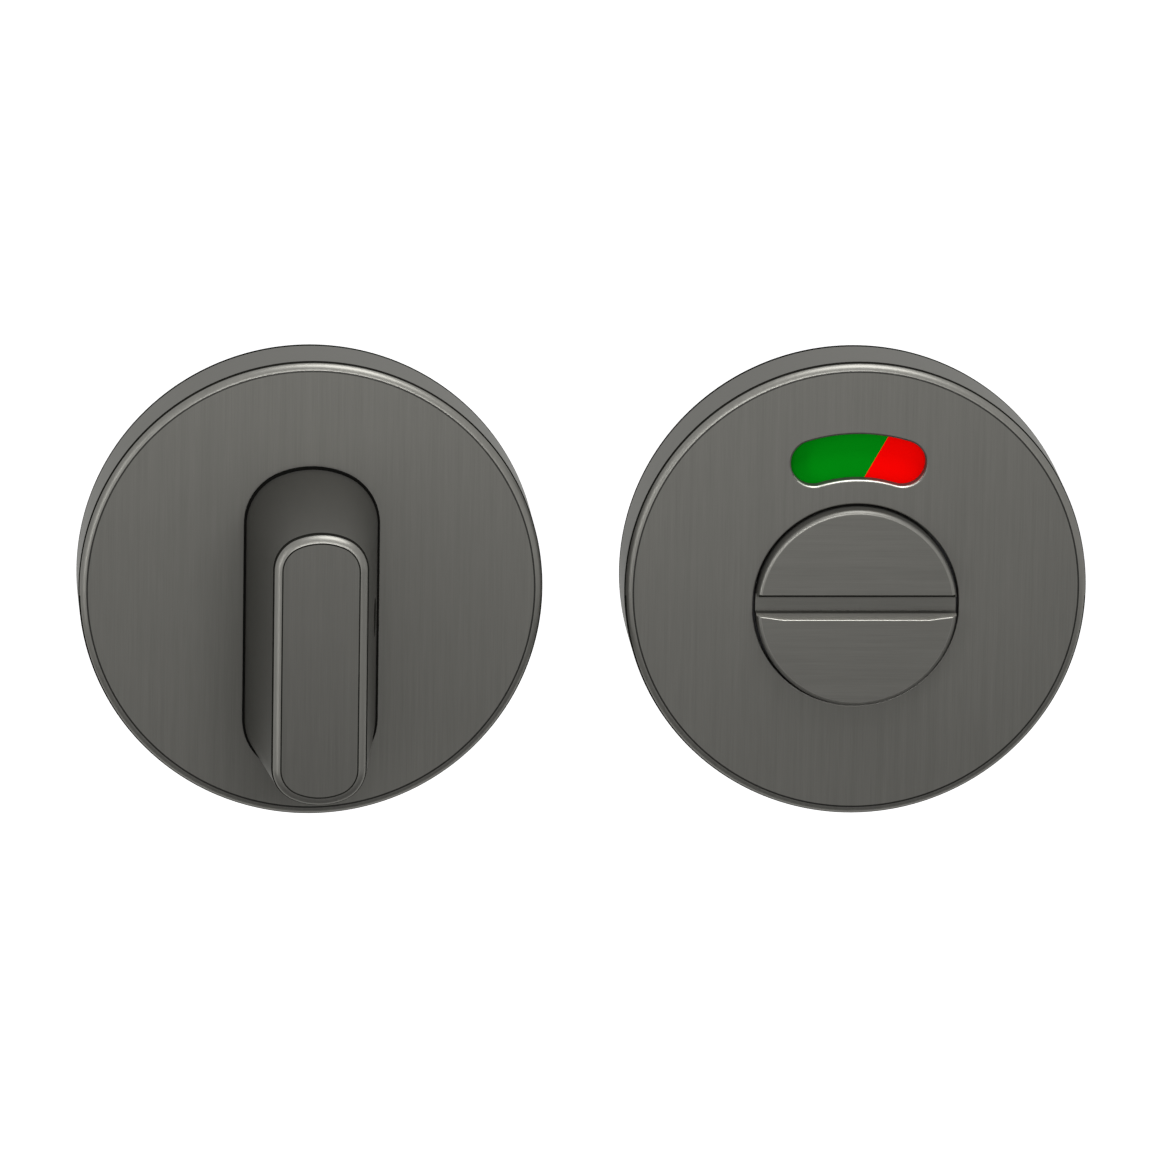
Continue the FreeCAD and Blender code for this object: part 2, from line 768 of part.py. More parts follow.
def makeDetent():
    ball = doc.addObject("Part::Sphere", "detent_ball")
    ball.Label = "detent_ball"
    ball.setExpression("Radius", s.ballRadius.text)
    middle = indicatorBack - s.ballGap - s.ballRadius
    ball.setExpression("Placement.Base.x", releaseX.text)
    ball.setExpression("Placement.Base.y", (-middle).text)
    ball.setExpression("Placement.Base.z", detentOrbit.text)
    nodes.append(ball)

    body = newBody("detent_spring", releaseX, detentOrbit)
    floor = s.releaseBossTop - s.detentDepth + s.springWire
    top = middle - s.ballRadius * 0.8 - s.springWire
    sketch = newSketch(body, "wireSketch", zero, "YZ_Plane")
    wire = s.springWire
    addRectangle(sketch, -floor - wire, wire - floor, s.springRadius - wire, s.springRadius + wire)
    coil = body.newObject("PartDesign::AdditiveHelix", "coil")
    coil.Profile = sketch
    coil.ReferenceAxis = (originItem(body, "Y_Axis"), [""])
    coil.Mode = 0
    coil.setExpression("Pitch", s.springPitch.text)
    coil.setExpression("Height", (top - floor).text)
    coil.Reversed = True
    body.Tip = coil


makeCovers()
makePlates()
makeBush("turn_bush", turnX, coverInner)
makeBush("release_bush", releaseX, s.releaseBossTop + s.bushFlangeThick)
for side, x in (("turn", turnX), ("release", releaseX)):
    makeWasher(side + "_washer", x)
    makeRing(side + "_retaining_ring", x)
makeTurn()
makeGlidePad()
makeSpindle()
makeGrubScrew()
makeBolts()
makePosts()
makeReleaseDisc()
makeIndicatorDisc()
makeFields()
makeDetent()
doc.recompute()

for item in doc.Objects:
    if "Invalid" in item.State or "Error" in item.State:
        raise RuntimeError("%s is in state %s" % (item.Name, item.State))
for node in nodes:
    if node.Shape.isNull() or not node.Shape.isValid():
        raise RuntimeError("%s has no valid shape" % node.Label)
    node.Shape.exportStep("parts/%s.step" % node.Label)
    box = node.Shape.BoundBox
    print("%-24s solids %d volume %8.1f  x %.2f %.2f  y %.2f %.2f  z %.2f %.2f" % (
        node.Label, len(node.Shape.Solids), node.Shape.Volume,
        box.XMin, box.XMax, box.YMin, box.YMax, box.ZMin, box.ZMax))
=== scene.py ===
import math
import bpy
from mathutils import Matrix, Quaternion, Vector


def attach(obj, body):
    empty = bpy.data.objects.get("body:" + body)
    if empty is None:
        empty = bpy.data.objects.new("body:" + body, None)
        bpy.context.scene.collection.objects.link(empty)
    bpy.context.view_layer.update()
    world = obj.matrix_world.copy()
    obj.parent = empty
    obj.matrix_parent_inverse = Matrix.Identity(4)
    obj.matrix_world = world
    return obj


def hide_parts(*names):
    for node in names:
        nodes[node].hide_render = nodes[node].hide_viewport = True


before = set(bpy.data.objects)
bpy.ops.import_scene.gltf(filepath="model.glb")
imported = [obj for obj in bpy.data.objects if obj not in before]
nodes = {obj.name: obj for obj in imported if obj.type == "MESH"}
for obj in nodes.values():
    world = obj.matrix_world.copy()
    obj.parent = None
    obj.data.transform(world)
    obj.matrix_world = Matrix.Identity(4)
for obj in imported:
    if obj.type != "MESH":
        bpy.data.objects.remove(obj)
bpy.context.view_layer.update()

# Bathroom lock set: inside rose with a thumb turn, outside rose with a coin
# release and a green/red window. Sizes in the dictionaries are millimetres;
# heights are measured from the door's face towards the front (-Y).

mm = 0.001
near = 0.01   # how close to a plane, in millimetres, a point counts as lying on it
close = 0.02  # the same for a curved wall
loose = 0.05  # the same beside an edge that was cut or rounded
flat = 0.99   # how straight a face has to look along Y to count as flat
print("frame loaded,", len(nodes), "nodes")


# Handling of one piece at a time

joining = {
    "outline": 0.004,  # points closer than this become one
    "finish": 0.002,
    "evenness": 90,    # how much large faces lead the shading
}


def setMode(mode):
    if bpy.context.object and bpy.context.object.mode != mode:
        bpy.ops.object.mode_set(mode=mode)


def takeUp(piece):  # the only piece selected, and active
    setMode("OBJECT")
    bpy.ops.object.select_all(action="DESELECT")
    piece.select_set(True)
    bpy.context.view_layer.objects.active = piece


def takeNew(name):  # names a fresh primitive and puts its place into its mesh
    piece = bpy.context.object
    piece.name = name
    piece.data.name = name
    bpy.ops.object.transform_apply(location=True, rotation=True, scale=True)
    return piece


def clearHands():
    setMode("OBJECT")
    bpy.ops.object.select_all(action="DESELECT")


def place(x, height, z):
    return (x * mm, -height * mm, z * mm)


def addRound(name, radius, back, front, x=0.0, z=0.0, sides=96):
    clearHands()
    bpy.ops.mesh.primitive_cylinder_add(
        vertices=sides, radius=radius * mm, depth=(front - back) * mm,
        location=place(x, (front + back) / 2, z), rotation=(math.pi / 2, 0, 0))
    return takeNew(name)


def addBlock(name, left, right, back, front, bottom, top):
    clearHands()
    bpy.ops.mesh.primitive_cube_add(
        size=1, location=place((left + right) / 2, (back + front) / 2, (bottom + top) / 2),
        scale=((right - left) * mm, (front - back) * mm, (top - bottom) * mm))
    return takeNew(name)


def addPoint(name, x, height, z):  # one vertex, in edit mode, to draw on from
    clearHands()
    bpy.ops.mesh.primitive_plane_add(size=mm, location=place(x, height, z))
    piece = takeNew(name)
    setMode("EDIT")
    bpy.ops.mesh.select_mode(type="VERT")
    bpy.ops.mesh.select_all(action="SELECT")
    bpy.ops.mesh.merge(type="CENTER")
    return piece


def drawLine(dx, dz, forward=0.0):
    bpy.ops.mesh.extrude_region_move(
        TRANSFORM_OT_translate={"value": (dx * mm, -forward * mm, dz * mm)})


def drawArc(x, height, z, angle, steps):  # clockwise from the front
    bpy.ops.mesh.spin(
        steps=steps, angle=math.radians(-angle), center=place(x, height, z), axis=(0, 1, 0))


def closeOutline():
    bpy.ops.mesh.select_all(action="SELECT")
    bpy.ops.mesh.remove_doubles(threshold=joining["outline"] * mm)
    bpy.ops.mesh.edge_face_add()


def turnProfile(name, profile, x=0.0, z=0.0, steps=72):
    # profile of (radius, height) points, turned round an axis along Y
    radius, height = profile[0]
    piece = addPoint(name, x + radius, height, z)
    for radiusNext, heightNext in profile[1:]:
        drawLine(radiusNext - radius, 0, heightNext - height)
        radius, height = radiusNext, heightNext
    bpy.ops.mesh.select_all(action="SELECT")
    bpy.ops.mesh.spin(steps=steps, angle=2 * math.pi, center=place(x, 0, z), axis=(0, 1, 0))
    bpy.ops.mesh.select_all(action="SELECT")
    bpy.ops.mesh.remove_doubles(threshold=joining["outline"] * mm)
    bpy.ops.mesh.normals_make_consistent(inside=False)
    setMode("OBJECT")
    return piece


def pickFaces(piece, test):  # test(centre in mm, normal)
    takeUp(piece)
    setMode("EDIT")
    bpy.ops.mesh.select_mode(type="FACE")
    bpy.ops.mesh.select_all(action="DESELECT")
    setMode("OBJECT")
    for face in piece.data.polygons:
        face.select = bool(test(face.center / mm, face.normal))
    setMode("EDIT")


def pickEdges(piece, test, bend=25.0):  # test(end, end), bend = least fold in degrees
    takeUp(piece)
    setMode("EDIT")
    bpy.ops.mesh.select_mode(type="EDGE")
    bpy.ops.mesh.select_all(action="DESELECT")
    setMode("OBJECT")
    mesh = piece.data
    normals = {}
    for face in mesh.polygons:
        for key in face.edge_keys:
            normals.setdefault(key, []).append(face.normal.copy())
    for edge in mesh.edges:
        sides = normals.get(edge.key, [])
        folded = len(sides) == 2 and math.degrees(sides[0].angle(sides[1], 0)) > bend
        ends = [mesh.vertices[number].co / mm for number in edge.vertices]
        edge.select = bool(folded and test(*ends))
    setMode("EDIT")


def roundOff(piece, test, width, segments=3, bend=25.0):
    pickEdges(piece, test, bend)
    bpy.ops.mesh.bevel(
        offset_type="OFFSET", offset=width * mm, segments=segments, profile=0.5,
        affect="EDGES", clamp_overlap=False)
    setMode("OBJECT")


def sliceAt(piece, point, across, test):  # new edges where a plane cuts chosen faces
    pickFaces(piece, test)
    bpy.ops.mesh.bisect(plane_co=point, plane_no=across)
    setMode("OBJECT")


def combine(piece, tool, how="DIFFERENCE"):
    takeUp(piece)
    cut = piece.modifiers.new("cut", "BOOLEAN")
    cut.operation = how
    cut.solver = "EXACT"
    cut.object = tool
    bpy.ops.object.modifier_apply(modifier=cut.name)
    bpy.data.objects.remove(tool)


def joinTo(piece, other):
    takeUp(piece)
    other.select_set(True)
    bpy.ops.object.join()


def shift(piece, dx, dz):
    takeUp(piece)
    setMode("EDIT")
    bpy.ops.mesh.select_all(action="SELECT")
    bpy.ops.transform.translate(value=(dx * mm, 0, dz * mm))
    setMode("OBJECT")


def copyOf(piece, name):
    takeUp(piece)
    bpy.ops.object.duplicate(linked=False)
    twin = bpy.context.object
    twin.name = name
    twin.data.name = name
    return twin


def finishPiece(piece, body, materials, replaced, angle=32):
    takeUp(piece)
    setMode("EDIT")
    bpy.ops.mesh.select_mode(type="VERT")
    bpy.ops.mesh.select_all(action="SELECT")
    bpy.ops.mesh.remove_doubles(threshold=joining["finish"] * mm)
    bpy.ops.mesh.select_all(action="SELECT")
    bpy.ops.mesh.normals_make_consistent(inside=False)
    setMode("OBJECT")
    bpy.ops.object.shade_smooth_by_angle(angle=math.radians(angle))
    even = piece.modifiers.new("evenShading", "WEIGHTED_NORMAL")
    even.keep_sharp = True
    even.weight = joining["evenness"]
    bpy.ops.object.modifier_apply(modifier=even.name)
    for material in materials:
        piece.data.materials.append(material)
    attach(piece, body)
    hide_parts(replaced)


def dress(piece, number, test):  # gives chosen faces another of the piece's materials
    for face in piece.data.polygons:
        if test(face.center / mm, face.normal):
            face.material_index = number


# Effects shared by the materials

def newGroup(name, inputs, outputs):
    group = bpy.data.node_groups.new(name, "ShaderNodeTree")
    for label, kind, value in inputs:
        socket = group.interface.new_socket(name=label, in_out="INPUT", socket_type=kind)
        socket.default_value = value
    for label, kind in outputs:
        group.interface.new_socket(name=label, in_out="OUTPUT", socket_type=kind)
    entry = group.nodes.new("NodeGroupInput")
    leave = group.nodes.new("NodeGroupOutput")
    return group, entry, leave


def addNode(tree, kind, **settings):
    node = tree.nodes.new(kind)
    for key, value in settings.items():
        if key == "values":
            for socket, number in value.items():
                node.inputs[socket].default_value = number
        else:
            setattr(node, key, value)
    return node


def addMath(tree, operation, first, second=None, clamp=False):
    node = addNode(tree, "ShaderNodeMath", operation=operation, use_clamp=clamp)
    for number, item in enumerate((first, second)):
        if isinstance(item, (int, float)):
            node.inputs[number].default_value = item
        elif item is not None:
            tree.links.new(item, node.inputs[number])
    return node.outputs[0]


def addNoise(tree, vector, scale, detail=3.0, roughness=0.55):
    node = addNode(tree, "ShaderNodeTexNoise",
                   values={"Scale": scale, "Detail": detail, "Roughness": roughness})
    tree.links.new(vector, node.inputs["Vector"])
    return node.outputs[0]


brushing = {"fineShare": 0.62, "broadShare": 0.38, "broadScale": 0.21}
handling = {"largeShare": 0.75, "smallShare": 0.25, "smallScale": 6.5}
casting = {"pebbleShare": 0.3, "stainShare": 0.7, "stainScale": 0.045,
           "pitScale": 0.22, "pitSize": 0.11, "pitDepth": 0.5, "strength": 0.6}
turning = {"cloudSize": 160.0, "ringShare": 0.6, "ridge": 0.006, "strength": 0.5}
moulding = {"cloudSize": 220.0, "skinShare": 0.4, "strength": 0.4}


def makeBrushedGroup():
    # fine parallel scratches; Lines is how often they change along X, Y and Z per metre
    group, entry, leave = newGroup(
        "brushedLines",
        [("Vector", "NodeSocketVector", (0, 0, 0)),
         ("Lines", "NodeSocketVector", (5200, 5200, 110)),
         ("Contrast", "NodeSocketFloat", 1.0)],
        [("Shade", "NodeSocketFloat"), ("Height", "NodeSocketFloat")])
    stretch = addNode(group, "ShaderNodeVectorMath", operation="MULTIPLY")
    group.links.new(entry.outputs["Vector"], stretch.inputs[0])
    group.links.new(entry.outputs["Lines"], stretch.inputs[1])
    fine = addNoise(group, stretch.outputs[0], 1.0, 3.0, 0.6)
    broad = addNoise(group, stretch.outputs[0], brushing["broadScale"], 2.0, 0.5)
    mixed = addMath(group, "ADD", addMath(group, "MULTIPLY", fine, brushing["fineShare"]),
                    addMath(group, "MULTIPLY", broad, brushing["broadShare"]))
    centred = addMath(group, "SUBTRACT", mixed, 0.5)
    sharper = addMath(group, "MULTIPLY", centred, entry.outputs["Contrast"])
    shade = addMath(group, "ADD", sharper, 0.5, clamp=True)
    group.links.new(shade, leave.inputs["Shade"])
    group.links.new(mixed, leave.inputs["Height"])
    return group


def makeHandlingGroup():
    # soft clouds left by handling, with a few finer smears
    group, entry, leave = newGroup(
        "handlingClouds",
        [("Vector", "NodeSocketVector", (0, 0, 0)), ("Size", "NodeSocketFloat", 55.0)],
        [("Cloud", "NodeSocketFloat")])
    scaled = addNode(group, "ShaderNodeVectorMath", operation="SCALE")
    group.links.new(entry.outputs["Vector"], scaled.inputs[0])
    group.links.new(entry.outputs["Size"], scaled.inputs["Scale"])
    large = addNoise(group, scaled.outputs[0], 1.0, 2.0, 0.5)
    small = addNoise(group, scaled.outputs[0], handling["smallScale"], 3.0, 0.6)
    both = addMath(group, "ADD", addMath(group, "MULTIPLY", large, handling["largeShare"]),
                   addMath(group, "MULTIPLY", small, handling["smallShare"]))
    group.links.new(both, leave.inputs["Cloud"])
    return group


def makeTurnedGroup():
    # rings left by turning, round an axis along Y through Centre
    group, entry, leave = newGroup(
        "turnedRings",
        [("Vector", "NodeSocketVector", (0, 0, 0)),
         ("Centre", "NodeSocketVector", (0, 0, 0)),
         ("Rings", "NodeSocketFloat", 4200.0)],
        [("Ring", "NodeSocketFloat")])
    offset = addNode(group, "ShaderNodeVectorMath", operation="SUBTRACT")
    group.links.new(entry.outputs["Vector"], offset.inputs[0])
    group.links.new(entry.outputs["Centre"], offset.inputs[1])
    split = addNode(group, "ShaderNodeSeparateXYZ")
    group.links.new(offset.outputs[0], split.inputs[0])
    across = addNode(group, "ShaderNodeCombineXYZ")
    group.links.new(split.outputs["X"], across.inputs["X"])
    group.links.new(split.outputs["Z"], across.inputs["Z"])
    length = addNode(group, "ShaderNodeVectorMath", operation="LENGTH")
    group.links.new(across.outputs[0], length.inputs[0])
    line = addNode(group, "ShaderNodeCombineXYZ")
    group.links.new(addMath(group, "MULTIPLY", length.outputs["Value"], entry.outputs["Rings"]),
                    line.inputs["X"])
    group.links.new(addMath(group, "MULTIPLY", split.outputs["Y"], entry.outputs["Rings"]),
                    line.inputs["Y"])
    group.links.new(addNoise(group, line.outputs[0], 1.0, 2.0, 0.6), leave.inputs["Ring"])
    return group


def makeCastGroup():
    # the fine pebbled skin of a die casting, with shallow pits
    group, entry, leave = newGroup(
        "castSkin",
        [("Vector", "NodeSocketVector", (0, 0, 0)), ("Grain", "NodeSocketFloat", 2600.0)],
        [("Shade", "NodeSocketFloat"), ("Height", "NodeSocketFloat")])
    scaled = addNode(group, "ShaderNodeVectorMath", operation="SCALE")
    group.links.new(entry.outputs["Vector"], scaled.inputs[0])
    group.links.new(entry.outputs["Grain"], scaled.inputs["Scale"])
    pebble = addNoise(group, scaled.outputs[0], 1.0, 3.0, 0.65)
    stain = addNoise(group, scaled.outputs[0], casting["stainScale"], 3.0, 0.6)
    pits = addNode(group, "ShaderNodeTexVoronoi", values={"Scale": casting["pitScale"]})
    group.links.new(scaled.outputs[0], pits.inputs["Vector"])
    pit = addMath(group, "LESS_THAN", pits.outputs["Distance"], casting["pitSize"])
    sunk = addMath(group, "MULTIPLY", pit, casting["pitDepth"])
    height = addMath(group, "SUBTRACT", pebble, sunk)
    shade = addMath(group, "ADD", addMath(group, "MULTIPLY", pebble, casting["pebbleShare"]),
                    addMath(group, "MULTIPLY", stain, casting["stainShare"]))
    group.links.new(shade, leave.inputs["Shade"])
    group.links.new(height, leave.inputs["Height"])
    return group


brushedLines = makeBrushedGroup()
handlingClouds = makeHandlingGroup()
turnedRings = makeTurnedGroup()
castSkin = makeCastGroup()
print("shared effects ready")


# Materials

def startMaterial(name):
    material = bpy.data.materials.new(name)
    material.use_nodes = True
    tree = material.node_tree
    surface = tree.nodes["Principled BSDF"]
    where = tree.nodes.new("ShaderNodeTexCoord").outputs["Object"]
    return material, tree, surface, where


def addGroup(tree, group, where, **values):
    node = tree.nodes.new("ShaderNodeGroup")
    node.node_tree = group
    tree.links.new(where, node.inputs["Vector"])
    for label, value in values.items():
        node.inputs[label].default_value = value
    return node


def shadeBetween(tree, factor, dark, light):
    mix = addNode(tree, "ShaderNodeMix", data_type="RGBA")
    mix.inputs[6].default_value = (*dark, 1)  # sockets 6 and 7 are its two colours
    mix.inputs[7].default_value = (*light, 1)
    tree.links.new(factor, mix.inputs[0])
    return mix.outputs[2]


def spread(tree, factor, low, high):
    node = addNode(tree, "ShaderNodeMapRange", values={"To Min": low, "To Max": high})
    tree.links.new(factor, node.inputs["Value"])
    return node.outputs["Result"]


def blend(tree, first, second, share):  # share is how much of the first counts
    return addMath(tree, "ADD", addMath(tree, "MULTIPLY", first, share),
                   addMath(tree, "MULTIPLY", second, 1 - share))


def addBump(tree, surface, height, distance, strength):
    bump = addNode(tree, "ShaderNodeBump", values={"Strength": strength, "Distance": distance * mm})
    tree.links.new(height, bump.inputs["Height"])
    tree.links.new(bump.outputs[0], surface.inputs["Normal"])


graphite = {
    "dark": (0.087, 0.0854, 0.0781),
    "light": (0.131, 0.1286, 0.1179),
    "metallic": 0.75,
    "grazing": (0.60, 0.60, 0.58),
    "contrast": 1.6,
    "cloudSize": 55.0,
    "brushShare": 0.72,
    "scratchDepth": 0.003,
    "scratchStrength": 0.4,
    "downward": (9500, 9500, 150),   # scratches run up and down
    "sideways": (150, 9500, 9500),   # scratches run across
}


def satinGraphite(name, lines, gain=1.0, smooth=0.38, dull=0.48):  # gain scales the metal's colour: above 1 for painted highlights, below 1 for painted shade
    material, tree, surface, where = startMaterial(name)
    brush = addGroup(tree, brushedLines, where, Lines=lines, Contrast=graphite["contrast"])
    cloud = addGroup(tree, handlingClouds, where, Size=graphite["cloudSize"])
    tone = blend(tree, brush.outputs["Shade"], cloud.outputs["Cloud"], graphite["brushShare"])
    dark = tuple(part * gain for part in graphite["dark"])
    light = tuple(part * gain for part in graphite["light"])
    tree.links.new(shadeBetween(tree, tone, dark, light), surface.inputs["Base Color"])
    tree.links.new(spread(tree, tone, smooth, dull), surface.inputs["Roughness"])
    surface.inputs["Metallic"].default_value = graphite["metallic"]
    surface.inputs["Specular Tint"].default_value = (*graphite["grazing"], 1)
    addBump(tree, surface, brush.outputs["Height"], graphite["scratchDepth"],
            graphite["scratchStrength"])
    return material


def turnedMetal(name, look, centre):  # rings run round an axis through centre
    material, tree, surface, where = startMaterial(name)
    ring = addGroup(tree, turnedRings, where, Centre=place(*centre), Rings=look["rings"])
    cloud = addGroup(tree, handlingClouds, where, Size=turning["cloudSize"])
    tone = blend(tree, ring.outputs["Ring"], cloud.outputs["Cloud"], turning["ringShare"])
    colour = shadeBetween(tree, tone, look["dark"], look["light"])
    tree.links.new(colour, surface.inputs["Base Color"])
    tree.links.new(spread(tree, tone, look["smooth"], look["dull"]), surface.inputs["Roughness"])
    surface.inputs["Metallic"].default_value = 1.0
    addBump(tree, surface, ring.outputs["Ring"], turning["ridge"], turning["strength"])
    return material


def castMetal(name, look):
    material, tree, surface, where = startMaterial(name)
    skin = addGroup(tree, castSkin, where, Grain=look["grain"])
    shade = skin.outputs["Shade"]
    colour = shadeBetween(tree, shade, look["dark"], look["light"])
    tree.links.new(colour, surface.inputs["Base Color"])
    tree.links.new(spread(tree, shade, look["smooth"], look["dull"]), surface.inputs["Roughness"])
    surface.inputs["Metallic"].default_value = look["metallic"]
    addBump(tree, surface, skin.outputs["Height"], look["relief"], casting["strength"])
    return material


def mouldedPlastic(name, look, smooth=0.60, dull=0.72):
    material, tree, surface, where = startMaterial(name)
    skin = addGroup(tree, castSkin, where, Grain=look["grain"])
    cloud = addGroup(tree, handlingClouds, where, Size=moulding["cloudSize"])
    tone = blend(tree, skin.outputs["Shade"], cloud.outputs["Cloud"], moulding["skinShare"])
    colour = shadeBetween(tree, tone, look["dark"], look["light"])
    tree.links.new(colour, surface.inputs["Base Color"])
    tree.links.new(spread(tree, tone, smooth, dull), surface.inputs["Roughness"])
    surface.inputs["Specular IOR Level"].default_value = look["gloss"]
    addBump(tree, surface, skin.outputs["Height"], look["relief"], moulding["strength"])
    return material


zinc = {"dark": (0.24, 0.245, 0.26), "light": (0.56, 0.565, 0.58), "smooth": 0.38, "dull": 0.62,
        "metallic": 0.9, "grain": 2600.0, "relief": 0.03}
plating = {"dark": (0.36, 0.36, 0.38), "light": (0.52, 0.52, 0.54), "smooth": 0.30, "dull": 0.46,
           "rings": 4200.0}
springSteel = {"dark": (0.10, 0.11, 0.13), "light": (0.22, 0.23, 0.25), "smooth": 0.26,
               "dull": 0.42, "rings": 2600.0}
ballSteel = {"dark": (0.58, 0.58, 0.60), "light": (0.72, 0.72, 0.74), "smooth": 0.10,
             "dull": 0.18, "rings": 900.0}
bushPlastic = {"dark": (0.62, 0.61, 0.57), "light": (0.76, 0.75, 0.71), "gloss": 0.5,
               "grain": 1800.0, "relief": 0.01}
glidePlastic = {"dark": (0.003, 0.003, 0.003), "light": (0.007, 0.007, 0.006), "gloss": 0.0,
                "grain": 1800.0, "relief": 0.01}
# near-black for the painted shade lines along edges, round the rose's foot and along the coin slot
paintedShadeBlack = {"dark": (0.008, 0.008, 0.007), "light": (0.014, 0.014, 0.012), "gloss": 0.0,
             "grain": 1800.0, "relief": 0.01}
carrierPlastic = {"dark": (0.018, 0.018, 0.020), "light": (0.032, 0.032, 0.035), "gloss": 0.5,
                  "grain": 1800.0, "relief": 0.01}
greenInk = {"dark": (0.0002, 0.222, 0.0044), "light": (0.0004, 0.242, 0.0054), "gloss": 0.004,
            "grain": 1200.0, "relief": 0.002}
redInk = {"dark": (0.95, 0.0008, 0.0004), "light": (0.99, 0.0012, 0.0006), "gloss": 0.004,
          "grain": 1200.0, "relief": 0.002}

coverFinish = satinGraphite("satinGraphiteCover", graphite["downward"])
# the turn's copy of the same graphite, 0.8 times as light: painted shade
turnShadedFinish = satinGraphite("satinGraphiteTurnShaded", graphite["downward"], 0.80)
discFinish = satinGraphite("satinGraphiteDisc", graphite["sideways"])
# smoother like a polished edge, and 1.45 times lighter: painted highlight on the rounded edges
edgeHighlightFinish = satinGraphite("polishedEdgeHighlight", graphite["downward"], 1.45, 0.34, 0.42)
# a dark copy of the graphite: painted shade ring at the inner end of the front edge
shadeRingFinish = satinGraphite("paintedShadeRing", graphite["downward"], 0.22, 0.40, 0.50)
# four times lighter copy: painted highlight on the window's up-facing lip and the bevel under the
# slot
cutHighlightFinish = satinGraphite("paintedHighlightCut", graphite["sideways"], 4.0, 0.30, 0.40)
zincFinish = castMetal("castZinc", zinc)
boltFinish = turnedMetal("platedBolt", plating, (0, 0, 0))
postFinish = turnedMetal("platedPost", plating, (61.2, 0, 0))
springFinish = turnedMetal("blueSpringSteel", springSteel, (0, 0, 0))
ballFinish = turnedMetal("ballSteel", ballSteel, (61.2, 0, 12.4))
bushFinish = mouldedPlastic("bushPlastic", bushPlastic, 0.42, 0.58)
glideFinish = mouldedPlastic("glidePlastic", glidePlastic)
# the near-black finish: painted shade lines
paintedShadeLineFinish = mouldedPlastic("paintedShadeLine", paintedShadeBlack)
carrierFinish = mouldedPlastic("carrierPlastic", carrierPlastic, 0.44, 0.58)
greenFinish = mouldedPlastic("greenField", greenInk, 0.62, 0.70)
redFinish = mouldedPlastic("redField", redInk, 0.62, 0.70)
print("materials ready")


# Rose covers: a turned cup with a rounded front edge

rose = {
    "radius": 26.0,
    "z": 1.7,
    "front": 10.0,
    "wall": 1.5,
    "edge": 1.0,
    "edgeSteps": 10,
    # width of the painted shade line and ring at the front edge
    "paintedShadeLine": 0.19,
    "backEdge": 0.15,
    # height of the painted shade band at the wall's foot
    "footShadeLine": 0.9,
    "holeEdge": 0.18,
    "holeCut": (-3, 1),  # from where to where a hole is cut, off the front
    "turnHole": 6.3,
    "wallTilt": 0.05,    # most that the side wall may seem to lean
    "footWidth": 0.2,
    "sides": 224,
    "holeSides": 160,
}
shadeLineTilt = {"ring": -0.978, "shoulder": -0.52, "lean": 0.13}  # where the painted shade ring and lines end


def reachFrom(point, x, z=0.0):  # distance from an axis along Y
    return math.hypot(point.x - x, point.z - z)


def makeRose(name, x, hole):
    radius, front, edge = rose["radius"], rose["front"], rose["edge"]
    line = rose["paintedShadeLine"]
    cup = addRound(name, radius, 0, front, x, rose["z"], rose["sides"])
    pickFaces(cup, lambda centre, normal: normal.y > flat)
    bpy.ops.mesh.inset(thickness=rose["wall"] * mm)
    bpy.ops.mesh.extrude_region_move(
        TRANSFORM_OT_translate={"value": (0, -(front - rose["wall"]) * mm, 0)})
    setMode("OBJECT")
    roundOff(cup, lambda a, b: a.y < near - front and b.y < near - front,
             edge, rose["edgeSteps"])
    roundOff(cup, lambda a, b: a.y > -near and b.y > -near, rose["backEdge"], 2)
    # a narrow ring round the front face, for the painted shade ring
    pickFaces(cup, lambda centre, normal: normal.y < -flat and centre.y < near - front)
    bpy.ops.mesh.inset(thickness=line * mm)
    setMode("OBJECT")

    def onWall(centre, normal):
        outside = reachFrom(centre, x, rose["z"]) > radius - rose["wall"] / 3
        return outside and abs(normal.y) < rose["wallTilt"]

    # cuts that bound the painted shade bands on the wall
    for height in (front - edge - line, rose["footShadeLine"]):
        sliceAt(cup, place(0, height, 0), (0, 1, 0), onWall)
    back, beyond = rose["holeCut"]
    combine(cup, addRound("hole", hole, front + back, front + beyond, x, 0, rose["holeSides"]))
    return cup


def roundHole(cup, x, hole):  # breaks the sharp rim of a round hole in the front
    def besideHole(point):
        return point.y < near - rose["front"] and reachFrom(point, x) < hole + close

    roundOff(cup, lambda a, b: besideHole(a) and besideHole(b), rose["holeEdge"], 2)


